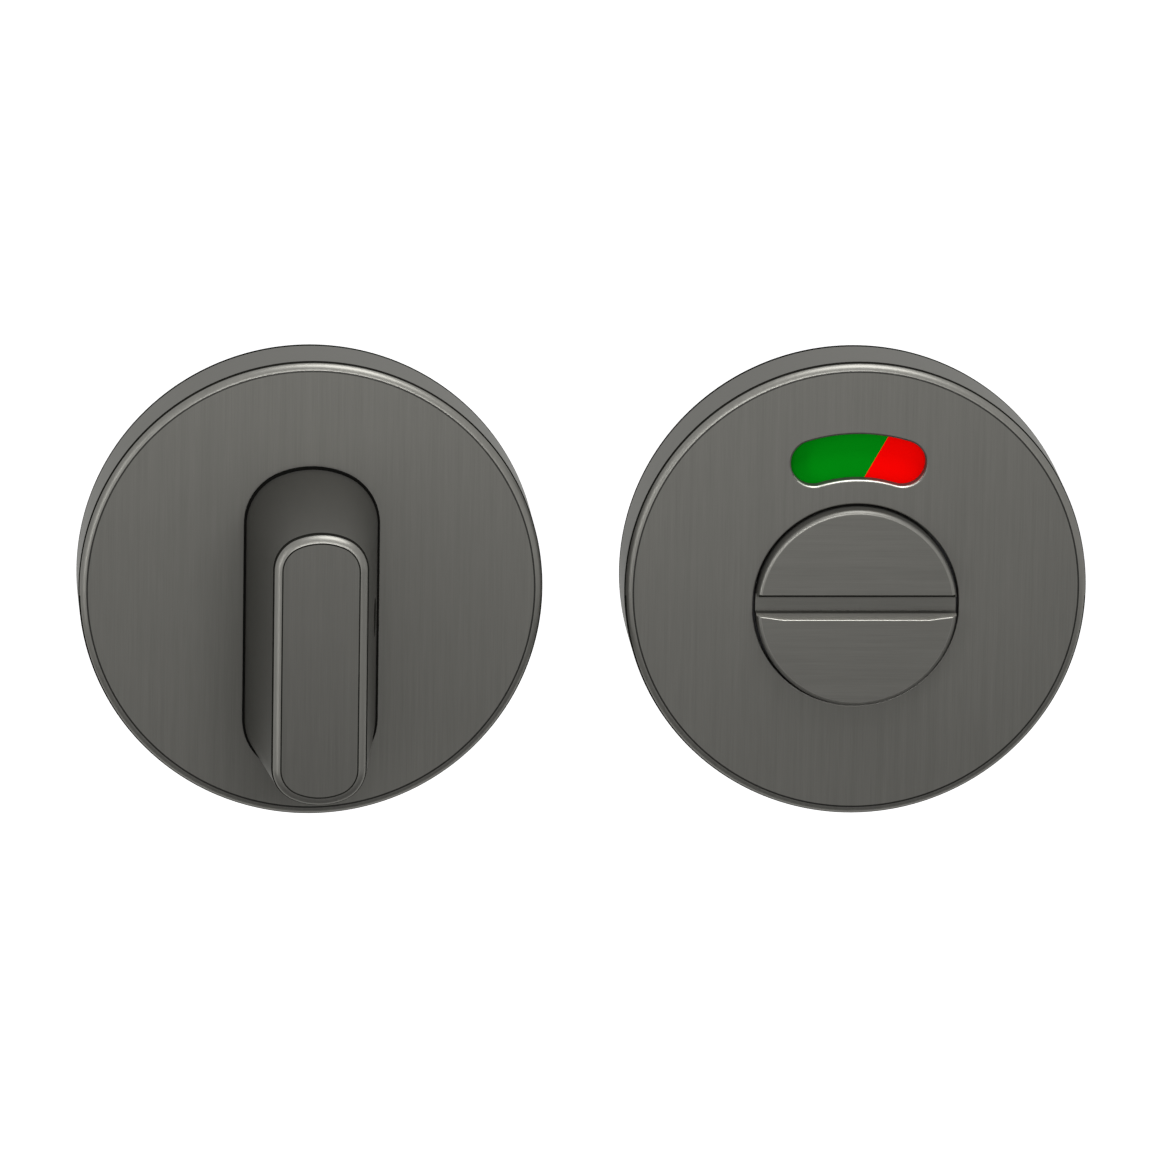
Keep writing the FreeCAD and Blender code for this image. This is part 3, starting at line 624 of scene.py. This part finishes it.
def finishRose(cup, x, replaced):
    front, edge, line = rose["front"], rose["edge"], rose["paintedShadeLine"]
    radius, edgeStart = rose["radius"], rose["radius"] - rose["edge"]

    def onEdge(centre, normal):
        return centre.y < edge - front and reachFrom(centre, x, rose["z"]) > edgeStart - 0.005

    # painted shade ring: the inner end of the edge rounding and a band just inside it on the front
    def onShadeRing(centre, normal):
        inner = onEdge(centre, normal) and normal.y < shadeLineTilt["ring"]
        outside = edgeStart - line < reachFrom(centre, x, rose["z"]) < edgeStart
        return inner or (outside and centre.y < near - front)

    # painted shade lines: a band on the wall below the edge rounding, the rounding's outer part
    # (more of it lower down) and a band at the wall's foot
    def onRoseShadeLine(centre, normal):
        reach = reachFrom(centre, x, rose["z"])
        below = reach > radius - close and 0 < centre.y + front - edge < line
        upward = (centre.z - rose["z"]) / radius
        least = shadeLineTilt["shoulder"] + shadeLineTilt["lean"] * upward
        shoulder = onEdge(centre, normal) and normal.y > least
        foot = centre.y > -rose["footShadeLine"] and reach > radius - rose["footWidth"]
        return below or shoulder or foot

    finishPiece(cup, "roses",
                [coverFinish, edgeHighlightFinish, paintedShadeLineFinish, cutHighlightFinish, shadeRingFinish], replaced)
    # the rounded edge takes the lighter copy, a painted highlight; then come the painted shade ring
    # and lines
    dress(cup, 1, onEdge)
    dress(cup, 4, onShadeRing)
    dress(cup, 2, onRoseShadeLine)


turnRose = makeRose("turnRose", 0.0, rose["turnHole"])
roundHole(turnRose, 0.0, rose["turnHole"])
finishRose(turnRose, 0.0, "turn_cover")

window = {
    "outer": 19.6,
    "inner": 14.4,
    "halfAngle": 17.1,
    "edge": 0.25,
    "hole": 11.6,
    "x": 61.2,
    "ends": 28,      # half angle that holds the window and its rounded ends
    "lipDepth": 1.4,
    "lipReach": 0.3,
    "lipTilt": (-0.97, -0.1),
    "lipRise": 0.4,  # least that the lip with the painted highlight faces up
    "cutStart": 2,
    "cutDepth": 6,
    "outerSteps": 30,
    "steps": 24,
}


def makeWindowCutter():
    # bean outline drawn clockwise as four arcs, then given its depth
    outer, inner, half = window["outer"], window["inner"], window["halfAngle"]
    middle, cap = (outer + inner) / 2, (outer - inner) / 2
    x, side, up = window["x"], math.sin(math.radians(half)), math.cos(math.radians(half))
    front, steps = rose["front"] + window["cutStart"], window["steps"]
    cutter = addPoint("bean", x - outer * side, front, outer * up)
    drawArc(x, front, 0, 2 * half, window["outerSteps"])
    drawArc(x + middle * side, front, middle * up, 180, steps)
    drawArc(x, front, 0, -2 * half, steps)
    drawArc(x - middle * side, front, middle * up, 180, steps)
    closeOutline()
    bpy.ops.mesh.extrude_region_move(
        TRANSFORM_OT_translate={"value": (0, window["cutDepth"] * mm, 0)})
    bpy.ops.mesh.select_all(action="SELECT")
    bpy.ops.mesh.normals_make_consistent(inside=False)
    setMode("OBJECT")
    return cutter


def nearWindow(point, beyond):
    angle = math.degrees(math.atan2(point.x - window["x"], point.z))
    reach = reachFrom(point, window["x"])
    return (window["inner"] - beyond < reach < window["outer"] + beyond
            and abs(angle) < window["ends"])


def besideWindow(point):  # on the bean's own outline, at the rose's front
    return point.y < near - rose["front"] and nearWindow(point, close)


def onCutHighlight(centre, normal):  # lower lip of the window, facing up, given a painted highlight
    least, most = window["lipTilt"]
    lip = least < normal.y < most and normal.z > window["lipRise"]
    return (lip and nearWindow(centre, window["lipReach"])
            and centre.y < window["lipDepth"] - rose["front"])


releaseRose = makeRose("releaseRose", window["x"], window["hole"])
combine(releaseRose, makeWindowCutter())
roundOff(releaseRose, lambda a, b: besideWindow(a) and besideWindow(b), window["edge"], 4)
roundHole(releaseRose, window["x"], window["hole"])
finishRose(releaseRose, window["x"], "release_cover")
dress(releaseRose, 3, onCutHighlight)
print("rose covers made")


# Thumb turn: an oblong grip that narrows to its front, on a round neck

turn = {
    "base": 10.6,
    "height": 23.2,
    "width": 14.7,
    "length": 35.0,
    "drop": 1.8,
    "cornerInset": 1.35,
    "endFlat": 2.15,
    "draft": 5.35,
    "edge": 1.1,
    "edgeSteps": 10,
    # width of the painted shade line round the front and below the edge rounding
    "paintedShadeLine": 0.13,
    "footEdge": 0.14,
    "arcSteps": 14,
    "wallTilt": 0.2,
    # the edge rounding's outer part, leaning more than this, is painted shade
    "shadeLineTilt": -0.50,
    "grubRadius": 2.0,
    "grubHeight": 5.2,
    "grubBore": (2, 14),  # left and right end of the grub screw's hole
    "grubSide": 5,        # right of this lies the flank with the hole
    "grubEdge": 0.2,
    # width of the painted shade rim round the grub screw's hole
    "grubShadeLine": 0.3,
    "grubTilt": 0.98,     # least that the flank itself faces right
    "grubSides": 48,
}
neck = {
    "radius": 6.0,
    "end": 0.6,
    "grooveRadius": 5.2,
    "grooveBottom": 1.4,
    "grooveTop": 2.4,
    "chamfer": 0.25,
    "socketHalf": 3.05,
    "turnSocketEnd": 22.0,
    "sunkInTurn": 0.5,
    "sunkInDisc": 0.6,
    "sides": 96,
}


def makeNeck(name, x, top):
    radius, end, chamfer = neck["radius"], neck["end"], neck["chamfer"]
    groove = neck["grooveRadius"]
    profile = [(0, end), (radius - chamfer, end), (radius, end + chamfer),
               (radius, neck["grooveBottom"]), (groove, neck["grooveBottom"]),
               (groove, neck["grooveTop"]), (radius, neck["grooveTop"]),
               (radius, top), (0, top)]
    return turnProfile(name, profile, x, 0, neck["sides"])


turnFront = turn["base"] + turn["height"]
turnTangent = turn["edge"] / math.tan(math.radians(90 + turn["draft"]) / 2)
turnEdgeFoot = turnFront - turnTangent * math.cos(math.radians(turn["draft"]))


def besideGrub(point, beyond):  # in the right flank, round the grub screw's hole
    aside = math.hypot(point.y + turn["base"] + turn["grubHeight"], point.z)
    return point.x > turn["grubSide"] and aside < turn["grubRadius"] + beyond


def makeTurn():
    base, front = turn["base"], turnFront
    half = turn["width"] / 2
    inset, steps = turn["cornerInset"], turn["arcSteps"]
    corner, end = half - inset, half + turn["endFlat"]
    rise = math.sqrt((end - corner) ** 2 - inset ** 2)
    lean = math.degrees(math.atan2(rise, inset))
    endZ = turn["length"] / 2 - end
    cornerZ = endZ + rise
    grip = addPoint("thumbTurn", -half, base, -cornerZ)
    for side in (1, -1):  # up the left flank, over the top, then the same below
        drawLine(0, side * 2 * cornerZ)
        drawArc(side * -inset, base, side * cornerZ, lean, steps)
        drawArc(0, base, side * endZ, 180 - 2 * lean, steps)
        drawArc(side * inset, base, side * cornerZ, lean, steps)
    closeOutline()
    bpy.ops.mesh.select_mode(type="FACE")
    bpy.ops.mesh.select_all(action="SELECT")
    narrowing = turn["height"] * math.tan(math.radians(turn["draft"]))
    bpy.ops.mesh.inset(thickness=narrowing * mm)
    bpy.ops.transform.translate(value=(0, -turn["height"] * mm, 0))
    bpy.ops.mesh.select_mode(type="EDGE")
    bpy.ops.mesh.select_all(action="DESELECT")
    bpy.ops.mesh.select_non_manifold()
    bpy.ops.mesh.edge_face_add()
    bpy.ops.mesh.select_all(action="SELECT")
    bpy.ops.mesh.normals_make_consistent(inside=False)
    bpy.ops.transform.translate(value=(0, 0, -turn["drop"] * mm))
    setMode("OBJECT")
    roundOff(grip, lambda a, b: a.y < near - front and b.y < near - front,
             turnTangent, turn["edgeSteps"])
    roundOff(grip, lambda a, b: a.y > -near - base and b.y > -near - base,
             turn["footEdge"], 2)
    # a narrow ring round the front face, for a painted shade line
    pickFaces(grip, lambda centre, normal: normal.y < -flat and centre.y < near - front)
    bpy.ops.mesh.inset(thickness=turn["paintedShadeLine"] * mm)
    setMode("OBJECT")
    # a cut that bounds the painted shade band below the edge rounding
    sliceAt(grip, place(0, turnEdgeFoot - turn["paintedShadeLine"], 0), (0, 1, 0),
            lambda centre, normal: abs(normal.y) < turn["wallTilt"]
            and centre.y > -turnEdgeFoot)
    combine(grip, makeNeck("turnNeck", 0, base + neck["sunkInTurn"]), "UNION")
    socket = neck["socketHalf"]
    combine(grip, addBlock("socket", -socket, socket, -1, neck["turnSocketEnd"], -socket, socket))
    clearHands()
    left, right = turn["grubBore"]
    bpy.ops.mesh.primitive_cylinder_add(
        vertices=turn["grubSides"], radius=turn["grubRadius"] * mm, depth=(right - left) * mm,
        location=place((left + right) / 2, base + turn["grubHeight"], 0),
        rotation=(0, math.pi / 2, 0))
    combine(grip, takeNew("grubHole"))
    rim = 2 * loose
    roundOff(grip, lambda a, b: besideGrub(a, rim) and besideGrub(b, rim), turn["grubEdge"], 2)
    return grip


thumbTurn = makeTurn()
finishPiece(thumbTurn, "turn", [turnShadedFinish, edgeHighlightFinish, paintedShadeLineFinish],
            "thumb_turn")


# painted shade lines: a ring round the front face, a band below the edge rounding, the rounding's
# outer part and a rim round the grub screw's hole
def onTurnShadeLine(centre, normal):
    beside = centre.y < near - turnFront
    below = 0 < centre.y + turnEdgeFoot < turn["paintedShadeLine"] + 0.001
    shoulder = centre.y < -turnEdgeFoot and normal.y > turn["shadeLineTilt"]
    grub = normal.x < turn["grubTilt"] and besideGrub(centre, turn["grubShadeLine"])
    return beside or below or shoulder or grub


turnFaces = thumbTurn.data.polygons
frontFace = max((face for face in turnFaces if face.normal.y < -flat), key=lambda face: face.area)
# the rounded front edge takes the lighter copy, a painted highlight; then the painted shade lines;
# the front face itself keeps the turn's finish
dress(thumbTurn, 1, lambda centre, normal: centre.y < -turnEdgeFoot)
dress(thumbTurn, 2, onTurnShadeLine)
frontFace.material_index = 0
print("thumb turn made")


# Release disc: coin slot with a long bevel, edge proud of the rose

disc = {
    "x": 61.2,
    "radius": 11.3,
    "back": 7.9,
    "front": 11.8,
    "edge": 0.5,
    "edgeSteps": 10,
    "edgeTilt": (-0.998, -0.80),
    "slotTop": 1.3,
    "slotBottom": -0.75,
    "slotDepth": 2.2,
    "bevelBottom": -1.3,
    "bevelHalf": 8.2,
    "bevelDepth": 0.8,
    "bevelRise": 0.3,    # least that the bevel faces up
    "bevelRim": 0.3,     # left off at both ends
    "bevelBelow": 0.12,  # the rounding under it that gets the painted highlight too
    "slotEdge": 0.1,
    # width of the painted shade line along the slot's top edge
    "slotShadeLine": 0.2,
    "sides": 176,
}


def makeDisc():
    x, radius, front = disc["x"], disc["radius"], disc["front"]
    plate = addRound("releaseDisc", radius, disc["back"], front, x, 0, disc["sides"])
    roundOff(plate, lambda a, b: a.y < near - front and b.y < near - front,
             disc["edge"], disc["edgeSteps"])
    combine(plate, makeNeck("discNeck", x, disc["back"] + neck["sunkInDisc"]), "UNION")
    socket = neck["socketHalf"]
    combine(plate, addBlock("socket", x - socket, x + socket, -1, disc["back"],
                            -socket, socket))
    reach = radius + 1
    combine(plate, addBlock("slot", x - reach, x + reach, front - disc["slotDepth"], front + 1,
                            disc["slotBottom"], disc["slotTop"]))
    bevel = addPoint("slotBevel", x - reach, front + 1, 0)
    drawLine(0, disc["slotBottom"])
    run = radius - disc["bevelHalf"]
    fall = disc["bevelBottom"] - disc["slotBottom"]
    drawLine(1 + run, fall)
    drawLine(2 * disc["bevelHalf"], 0)
    drawLine(run + 1, -fall)
    drawLine(0, -disc["slotBottom"])
    closeOutline()
    bpy.ops.mesh.extrude_region_move(
        TRANSFORM_OT_translate={"value": (0, (1 + disc["bevelDepth"]) * mm, 0)})
    bpy.ops.mesh.select_all(action="SELECT")
    bpy.ops.mesh.normals_make_consistent(inside=False)
    setMode("OBJECT")
    combine(plate, bevel)

    def onSlot(point):
        inside = disc["bevelBottom"] - loose < point.z < disc["slotTop"] + loose
        return inside and point.y < near - front

    roundOff(plate, lambda a, b: onSlot(a) and onSlot(b), disc["slotEdge"], 2)
    # a cut that bounds the painted shade line above the slot
    shadeLineTop = disc["slotTop"] + disc["slotEdge"] + disc["slotShadeLine"]
    sliceAt(plate, place(0, 0, shadeLineTop), (0, 0, 1),
            lambda centre, normal: normal.y < -loose and centre.z > disc["slotTop"]
            and centre.y < disc["edge"] - front)
    return plate


releaseDisc = makeDisc()
finishPiece(releaseDisc, "release",
            [discFinish, edgeHighlightFinish, cutHighlightFinish, paintedShadeLineFinish], "release_disc")


# faces of the disc's edge rounding, given the lighter copy: painted highlight
def onDiscEdge(centre, normal):
    rim = disc["radius"] - disc["edge"]
    least, most = disc["edgeTilt"]
    return least < normal.y < most and reachFrom(centre, disc["x"]) > rim


def onBevel(centre, normal):  # the up-facing bevel under the slot, given a painted highlight
    across = abs(centre.x - disc["x"]) < disc["radius"] - disc["bevelRim"]
    lowest, highest = disc["bevelBottom"] - disc["bevelBelow"], disc["slotBottom"] + loose
    return (across and lowest < centre.z < highest and normal.z > disc["bevelRise"]
            and centre.y < disc["bevelDepth"] + close - disc["front"])


# painted shade line along the slot's top edge
def onSlotShadeLine(centre, normal):
    above = 0 < centre.z - disc["slotTop"] < disc["slotEdge"] + disc["slotShadeLine"]
    return above and normal.y < -0.1 and centre.y < disc["slotEdge"] + loose - disc["front"]


dress(releaseDisc, 1, onDiscEdge)
dress(releaseDisc, 2, onBevel)
dress(releaseDisc, 3, onSlotShadeLine)
print("release disc made")


# Spindle, bolts and posts

spindle = {
    "half": 3.0,
    "front": 21.7,
    "back": -46.0,
    "edge": 0.3,
    "endChamfer": 0.8,
    "frontChamfer": 0.3,
}
bolt = {
    "x": 18.6,
    "seat": 2.2,
    "head": 4.6,
    "headRadius": 3.6,
    "headChamfer": 0.4,
    "headUnder": 0.2,
    "shoulder": 2.22,
    "shoulderChamfer": 0.15,
    "radius": 2.0,
    "root": 1.66,
    "threadTop": -18.0,
    "threadFall": 0.4,    # length of the step from the shank to the core
    "threadClear": (0.8, 0.2),  # bare core at the tip and under the shank
    "end": -41.8,
    "tip": 0.5,
    "tipLength": 0.7,
    "pitch": 0.7,
    "sunk": 0.08,         # how deep the thread's foot lies in the core
    "slotHalf": 0.5,
    "slotDepth": 1.1,
    "slotReach": 4,
    "sides": 48,
}
post = {
    "x": 61.2,
    "reach": 18.6,
    "seat": 4.4,
    "head": 5.6,
    "headRadius": 4.6,
    "radius": 3.4,
    "chamfer": 0.25,
    "endChamfer": 0.4,
    "bore": 2.0,
    "crest": 1.74,
    "end": -12.0,
    "pitch": 0.7,
    "sunk": 0.12,
    "threadClear": 0.4,
    "sides": 56,
}
thread = {"flank": 0.42, "steps": 20}  # each flank's share of the pitch, steps per turn


def makeSpindle():
    half, chamfer = spindle["half"], spindle["endChamfer"]
    bar = addBlock("squareSpindle", -half, half, spindle["back"] + chamfer,
                   spindle["front"] - spindle["frontChamfer"], -half, half)
    roundOff(bar, lambda a, b: abs(a.y - b.y) > 1, spindle["edge"], 3)
    for side, length in ((1, chamfer), (-1, spindle["frontChamfer"])):  # both ends taper
        pickFaces(bar, lambda centre, normal: normal.y * side > flat)
        bpy.ops.mesh.extrude_region_move(
            TRANSFORM_OT_translate={"value": (0, side * length * mm, 0)})
        bpy.ops.transform.resize(value=((half - length) / half, 1, (half - length) / half))
        setMode("OBJECT")
    return bar


def makeThread(name, x, foot, crest, bottom, top, pitch):
    # a ridge of three-sided section wound by the screw modifier, its ends closed
    ridge = addPoint(name, foot, bottom, 0)
    rise = thread["flank"] * pitch
    drawLine(crest - foot, 0, rise)
    drawLine(foot - crest, 0, rise)
    bpy.ops.mesh.select_all(action="SELECT")
    bpy.ops.mesh.edge_face_add()
    bpy.ops.mesh.delete(type="ONLY_FACE")
    setMode("OBJECT")
    wind = ridge.modifiers.new("wind", "SCREW")
    wind.axis = "Y"
    wind.angle = 2 * math.pi
    wind.screw_offset = -pitch * mm
    wind.iterations = int((top - bottom) / pitch) - 1
    wind.steps = thread["steps"]
    wind.render_steps = thread["steps"]
    bpy.ops.object.modifier_apply(modifier=wind.name)
    setMode("EDIT")
    bpy.ops.mesh.select_mode(type="VERT")
    bpy.ops.mesh.select_all(action="DESELECT")
    bpy.ops.mesh.select_non_manifold()
    bpy.ops.mesh.fill_holes(sides=0)
    bpy.ops.mesh.select_all(action="SELECT")
    bpy.ops.mesh.normals_make_consistent(inside=False)
    setMode("OBJECT")
    shift(ridge, x, 0)
    return ridge


def makeBolt():
    x, radius, root, shoulder = bolt["x"], bolt["radius"], bolt["root"], bolt["shoulder"]
    wide, seat, head = bolt["headRadius"], bolt["seat"], bolt["head"]
    broken = bolt["shoulderChamfer"]
    profile = [(0, head), (wide - bolt["headChamfer"], head), (wide, head - bolt["headChamfer"]),
               (wide, seat + bolt["headUnder"]), (wide - bolt["headUnder"], seat),
               (shoulder, seat), (shoulder, broken), (shoulder - broken, 0), (radius, 0),
               (radius, bolt["threadTop"]), (root, bolt["threadTop"] - bolt["threadFall"]),
               (root, bolt["end"] + bolt["tipLength"]), (root - bolt["tip"], bolt["end"]),
               (0, bolt["end"])]
    screw = turnProfile("throughBolt", profile, x, 0, bolt["sides"])
    reach = bolt["slotReach"]
    combine(screw, addBlock("slot", x - reach, x + reach, head - bolt["slotDepth"],
                            head + 1, -bolt["slotHalf"], bolt["slotHalf"]))
    below, above = bolt["threadClear"]
    ridge = makeThread("thread", x, root - bolt["sunk"], radius, bolt["end"] + below,
                       bolt["threadTop"] - above, bolt["pitch"])
    joinTo(screw, ridge)
    return screw


def makePost():
    x = post["x"] + post["reach"]
    radius, wide, bore = post["radius"], post["headRadius"], post["bore"]
    head, end, chamfer, endChamfer = post["head"], post["end"], post["chamfer"], post["endChamfer"]
    profile = [(bore, head - chamfer), (bore + chamfer, head),
               (wide - chamfer, head), (wide, head - chamfer), (wide, post["seat"]),
               (radius, post["seat"]), (radius, end + endChamfer),
               (radius - endChamfer, end), (bore + chamfer, end),
               (bore, end + chamfer), (bore, head - chamfer)]
    sleeve = turnProfile("threadedPost", profile, x, 0, post["sides"])
    clear = post["threadClear"]
    ridge = makeThread("thread", x, bore + post["sunk"], post["crest"], end + clear,
                       head - clear, post["pitch"])
    joinTo(sleeve, ridge)
    return sleeve


squareSpindle = makeSpindle()
finishPiece(squareSpindle, "turn", [boltFinish], "turn_spindle")

boltRight = makeBolt()
boltLeft = copyOf(boltRight, "throughBoltLeft")
shift(boltLeft, -2 * bolt["x"], 0)
for piece in (boltRight, boltLeft):
    finishPiece(piece, "roses", [boltFinish], "through_bolts", 40)

postRight = makePost()
postLeft = copyOf(postRight, "threadedPostLeft")
shift(postLeft, -2 * post["reach"], 0)
for piece in (postRight, postLeft):
    finishPiece(piece, "roses", [postFinish], "threaded_posts", 40)
print("spindle, bolts and posts made")


# Finishes of the pieces that stay as they are in the frame

kept = {
    "turn_base_plate": zincFinish,
    "release_base_plate": zincFinish,
    "turn_bush": bushFinish,
    "release_bush": bushFinish,
    "turn_washer": bushFinish,
    "release_washer": bushFinish,
    "turn_glide_pad": glideFinish,
    "turn_retaining_ring": springFinish,
    "release_retaining_ring": springFinish,
    "turn_grub_screw": springFinish,
    "indicator_disc": carrierFinish,
    "indicator_green": greenFinish,
    "indicator_red": redFinish,
    "detent_ball": ballFinish,
    "detent_spring": springFinish,
}
for name, material in kept.items():
    nodes[name].data.materials.clear()
    nodes[name].data.materials.append(material)
print("kept pieces finished")


# Floor, light and camera

studio = {
    "middle": 0.03,
    "floorDepth": -0.30,
    "floorHalf": 6.0,
    "floorShade": 0.9,
    "dullness": 0.9,
    "floorGlow": 0.75,
    "worldLight": 0.4,
    "key": {"power": 1.9, "size": (0.24, 0.28), "place": (0.10, -0.14, 0.42)},
    "side": {"power": 0.6, "size": (0.08, 0.4), "place": (-0.36, -0.34, 0.03)},
    "front": {"power": 0.42, "size": (0.16, 0.06), "place": (0.03, -0.34, 0.08)},
    "card": {"shade": 0.10, "size": (0.5, 0.30), "place": (0.03, -0.16, -0.08)},
}


def whiteToEye(tree):
    # 1 for the rays that show the background, 0 for the rays that light the object
    path = tree.nodes.new("ShaderNodeLightPath")
    seen = addMath(tree, "ADD", path.outputs["Is Camera Ray"], path.outputs["Is Glossy Ray"], True)
    return addMath(tree, "ADD", seen, path.outputs["Is Transmission Ray"], True)


def makeWorld():
    world = bpy.data.worlds.new("studio")
    bpy.context.scene.world = world
    world.use_nodes = True
    tree = world.node_tree
    sky = tree.nodes["Background"]
    sky.inputs["Color"].default_value = (1, 1, 1, 1)
    strength = spread(tree, whiteToEye(tree), studio["worldLight"], 1.0)
    tree.links.new(strength, sky.inputs["Strength"])


def makeFloor():
    clearHands()
    bpy.ops.mesh.primitive_plane_add(
        size=2 * studio["floorHalf"], location=(studio["middle"], 0, studio["floorDepth"]))
    floor = takeNew("floor")
    material = bpy.data.materials.new("paleFloor")
    material.use_nodes = True
    tree = material.node_tree
    surface = tree.nodes["Principled BSDF"]
    surface.inputs["Base Color"].default_value = (*[studio["floorShade"]] * 3, 1)
    surface.inputs["Roughness"].default_value = studio["dullness"]
    surface.inputs["Emission Color"].default_value = (1, 1, 1, 1)
    glow = spread(tree, whiteToEye(tree), 0.0, studio["floorGlow"])
    tree.links.new(glow, surface.inputs["Emission Strength"])
    floor.data.materials.append(material)


def addCard(setting):
    # grey card below, seen only in reflections, that calms the lower edges
    clearHands()
    bpy.ops.mesh.primitive_plane_add(size=1, location=setting["place"])
    setMode("EDIT")
    bpy.ops.transform.resize(value=(*setting["size"], 1))
    setMode("OBJECT")
    card = takeNew("card")
    for sight in ("visible_camera", "visible_diffuse", "visible_shadow"):
        setattr(card, sight, False)
    material = bpy.data.materials.new("greyCard")
    material.use_nodes = True
    surface = material.node_tree.nodes["Principled BSDF"]
    surface.inputs["Base Color"].default_value = (*[setting["shade"]] * 3, 1)
    surface.inputs["Roughness"].default_value = studio["dullness"]
    card.data.materials.append(material)


def addLamp(name, setting):
    lamp = bpy.data.lights.new(name, "AREA")
    lamp.shape = "RECTANGLE"
    lamp.size, lamp.size_y = setting["size"]
    lamp.energy = setting["power"]
    holder = bpy.data.objects.new(name, lamp)
    bpy.context.scene.collection.objects.link(holder)
    holder.location = setting["place"]
    holder.visible_camera = False
    aim = Vector((studio["middle"], 0, 0)) - holder.location
    holder.rotation_euler = aim.to_track_quat("-Z", "Y").to_euler()


view = {
    "aim": (0.03083, 0.0, 0.00048),
    "azimuth": -4.0,
    "elevation": 13.4,
    "roll": 0.93,
    "distance": 1.4,
    "lens": 385.0,
    "sensor": 36.0,
    "clip": (0.05, 50.0),
}


def addCamera():
    data = bpy.data.cameras.new("camera")
    data.lens = view["lens"]
    data.sensor_width = view["sensor"]
    data.clip_start, data.clip_end = view["clip"]
    holder = bpy.data.objects.new("camera", data)
    bpy.context.scene.collection.objects.link(holder)
    side, up = math.radians(view["azimuth"]), math.radians(view["elevation"])
    back = Vector((math.sin(side) * math.cos(up), -math.cos(side) * math.cos(up), math.sin(up)))
    holder.location = Vector(view["aim"]) + back * view["distance"]
    level = (-back).to_track_quat("-Z", "Y")
    tip = Quaternion((0, 0, 1), math.radians(view["roll"]))
    holder.rotation_euler = (level @ tip).to_euler()
    bpy.context.scene.camera = holder


makeWorld()
makeFloor()
addLamp("key", studio["key"])
addLamp("side", studio["side"])
addLamp("front", studio["front"])
addCard(studio["card"])
addCamera()
bpy.context.scene.view_settings.view_transform = "Standard"
clearHands()
print("studio ready")
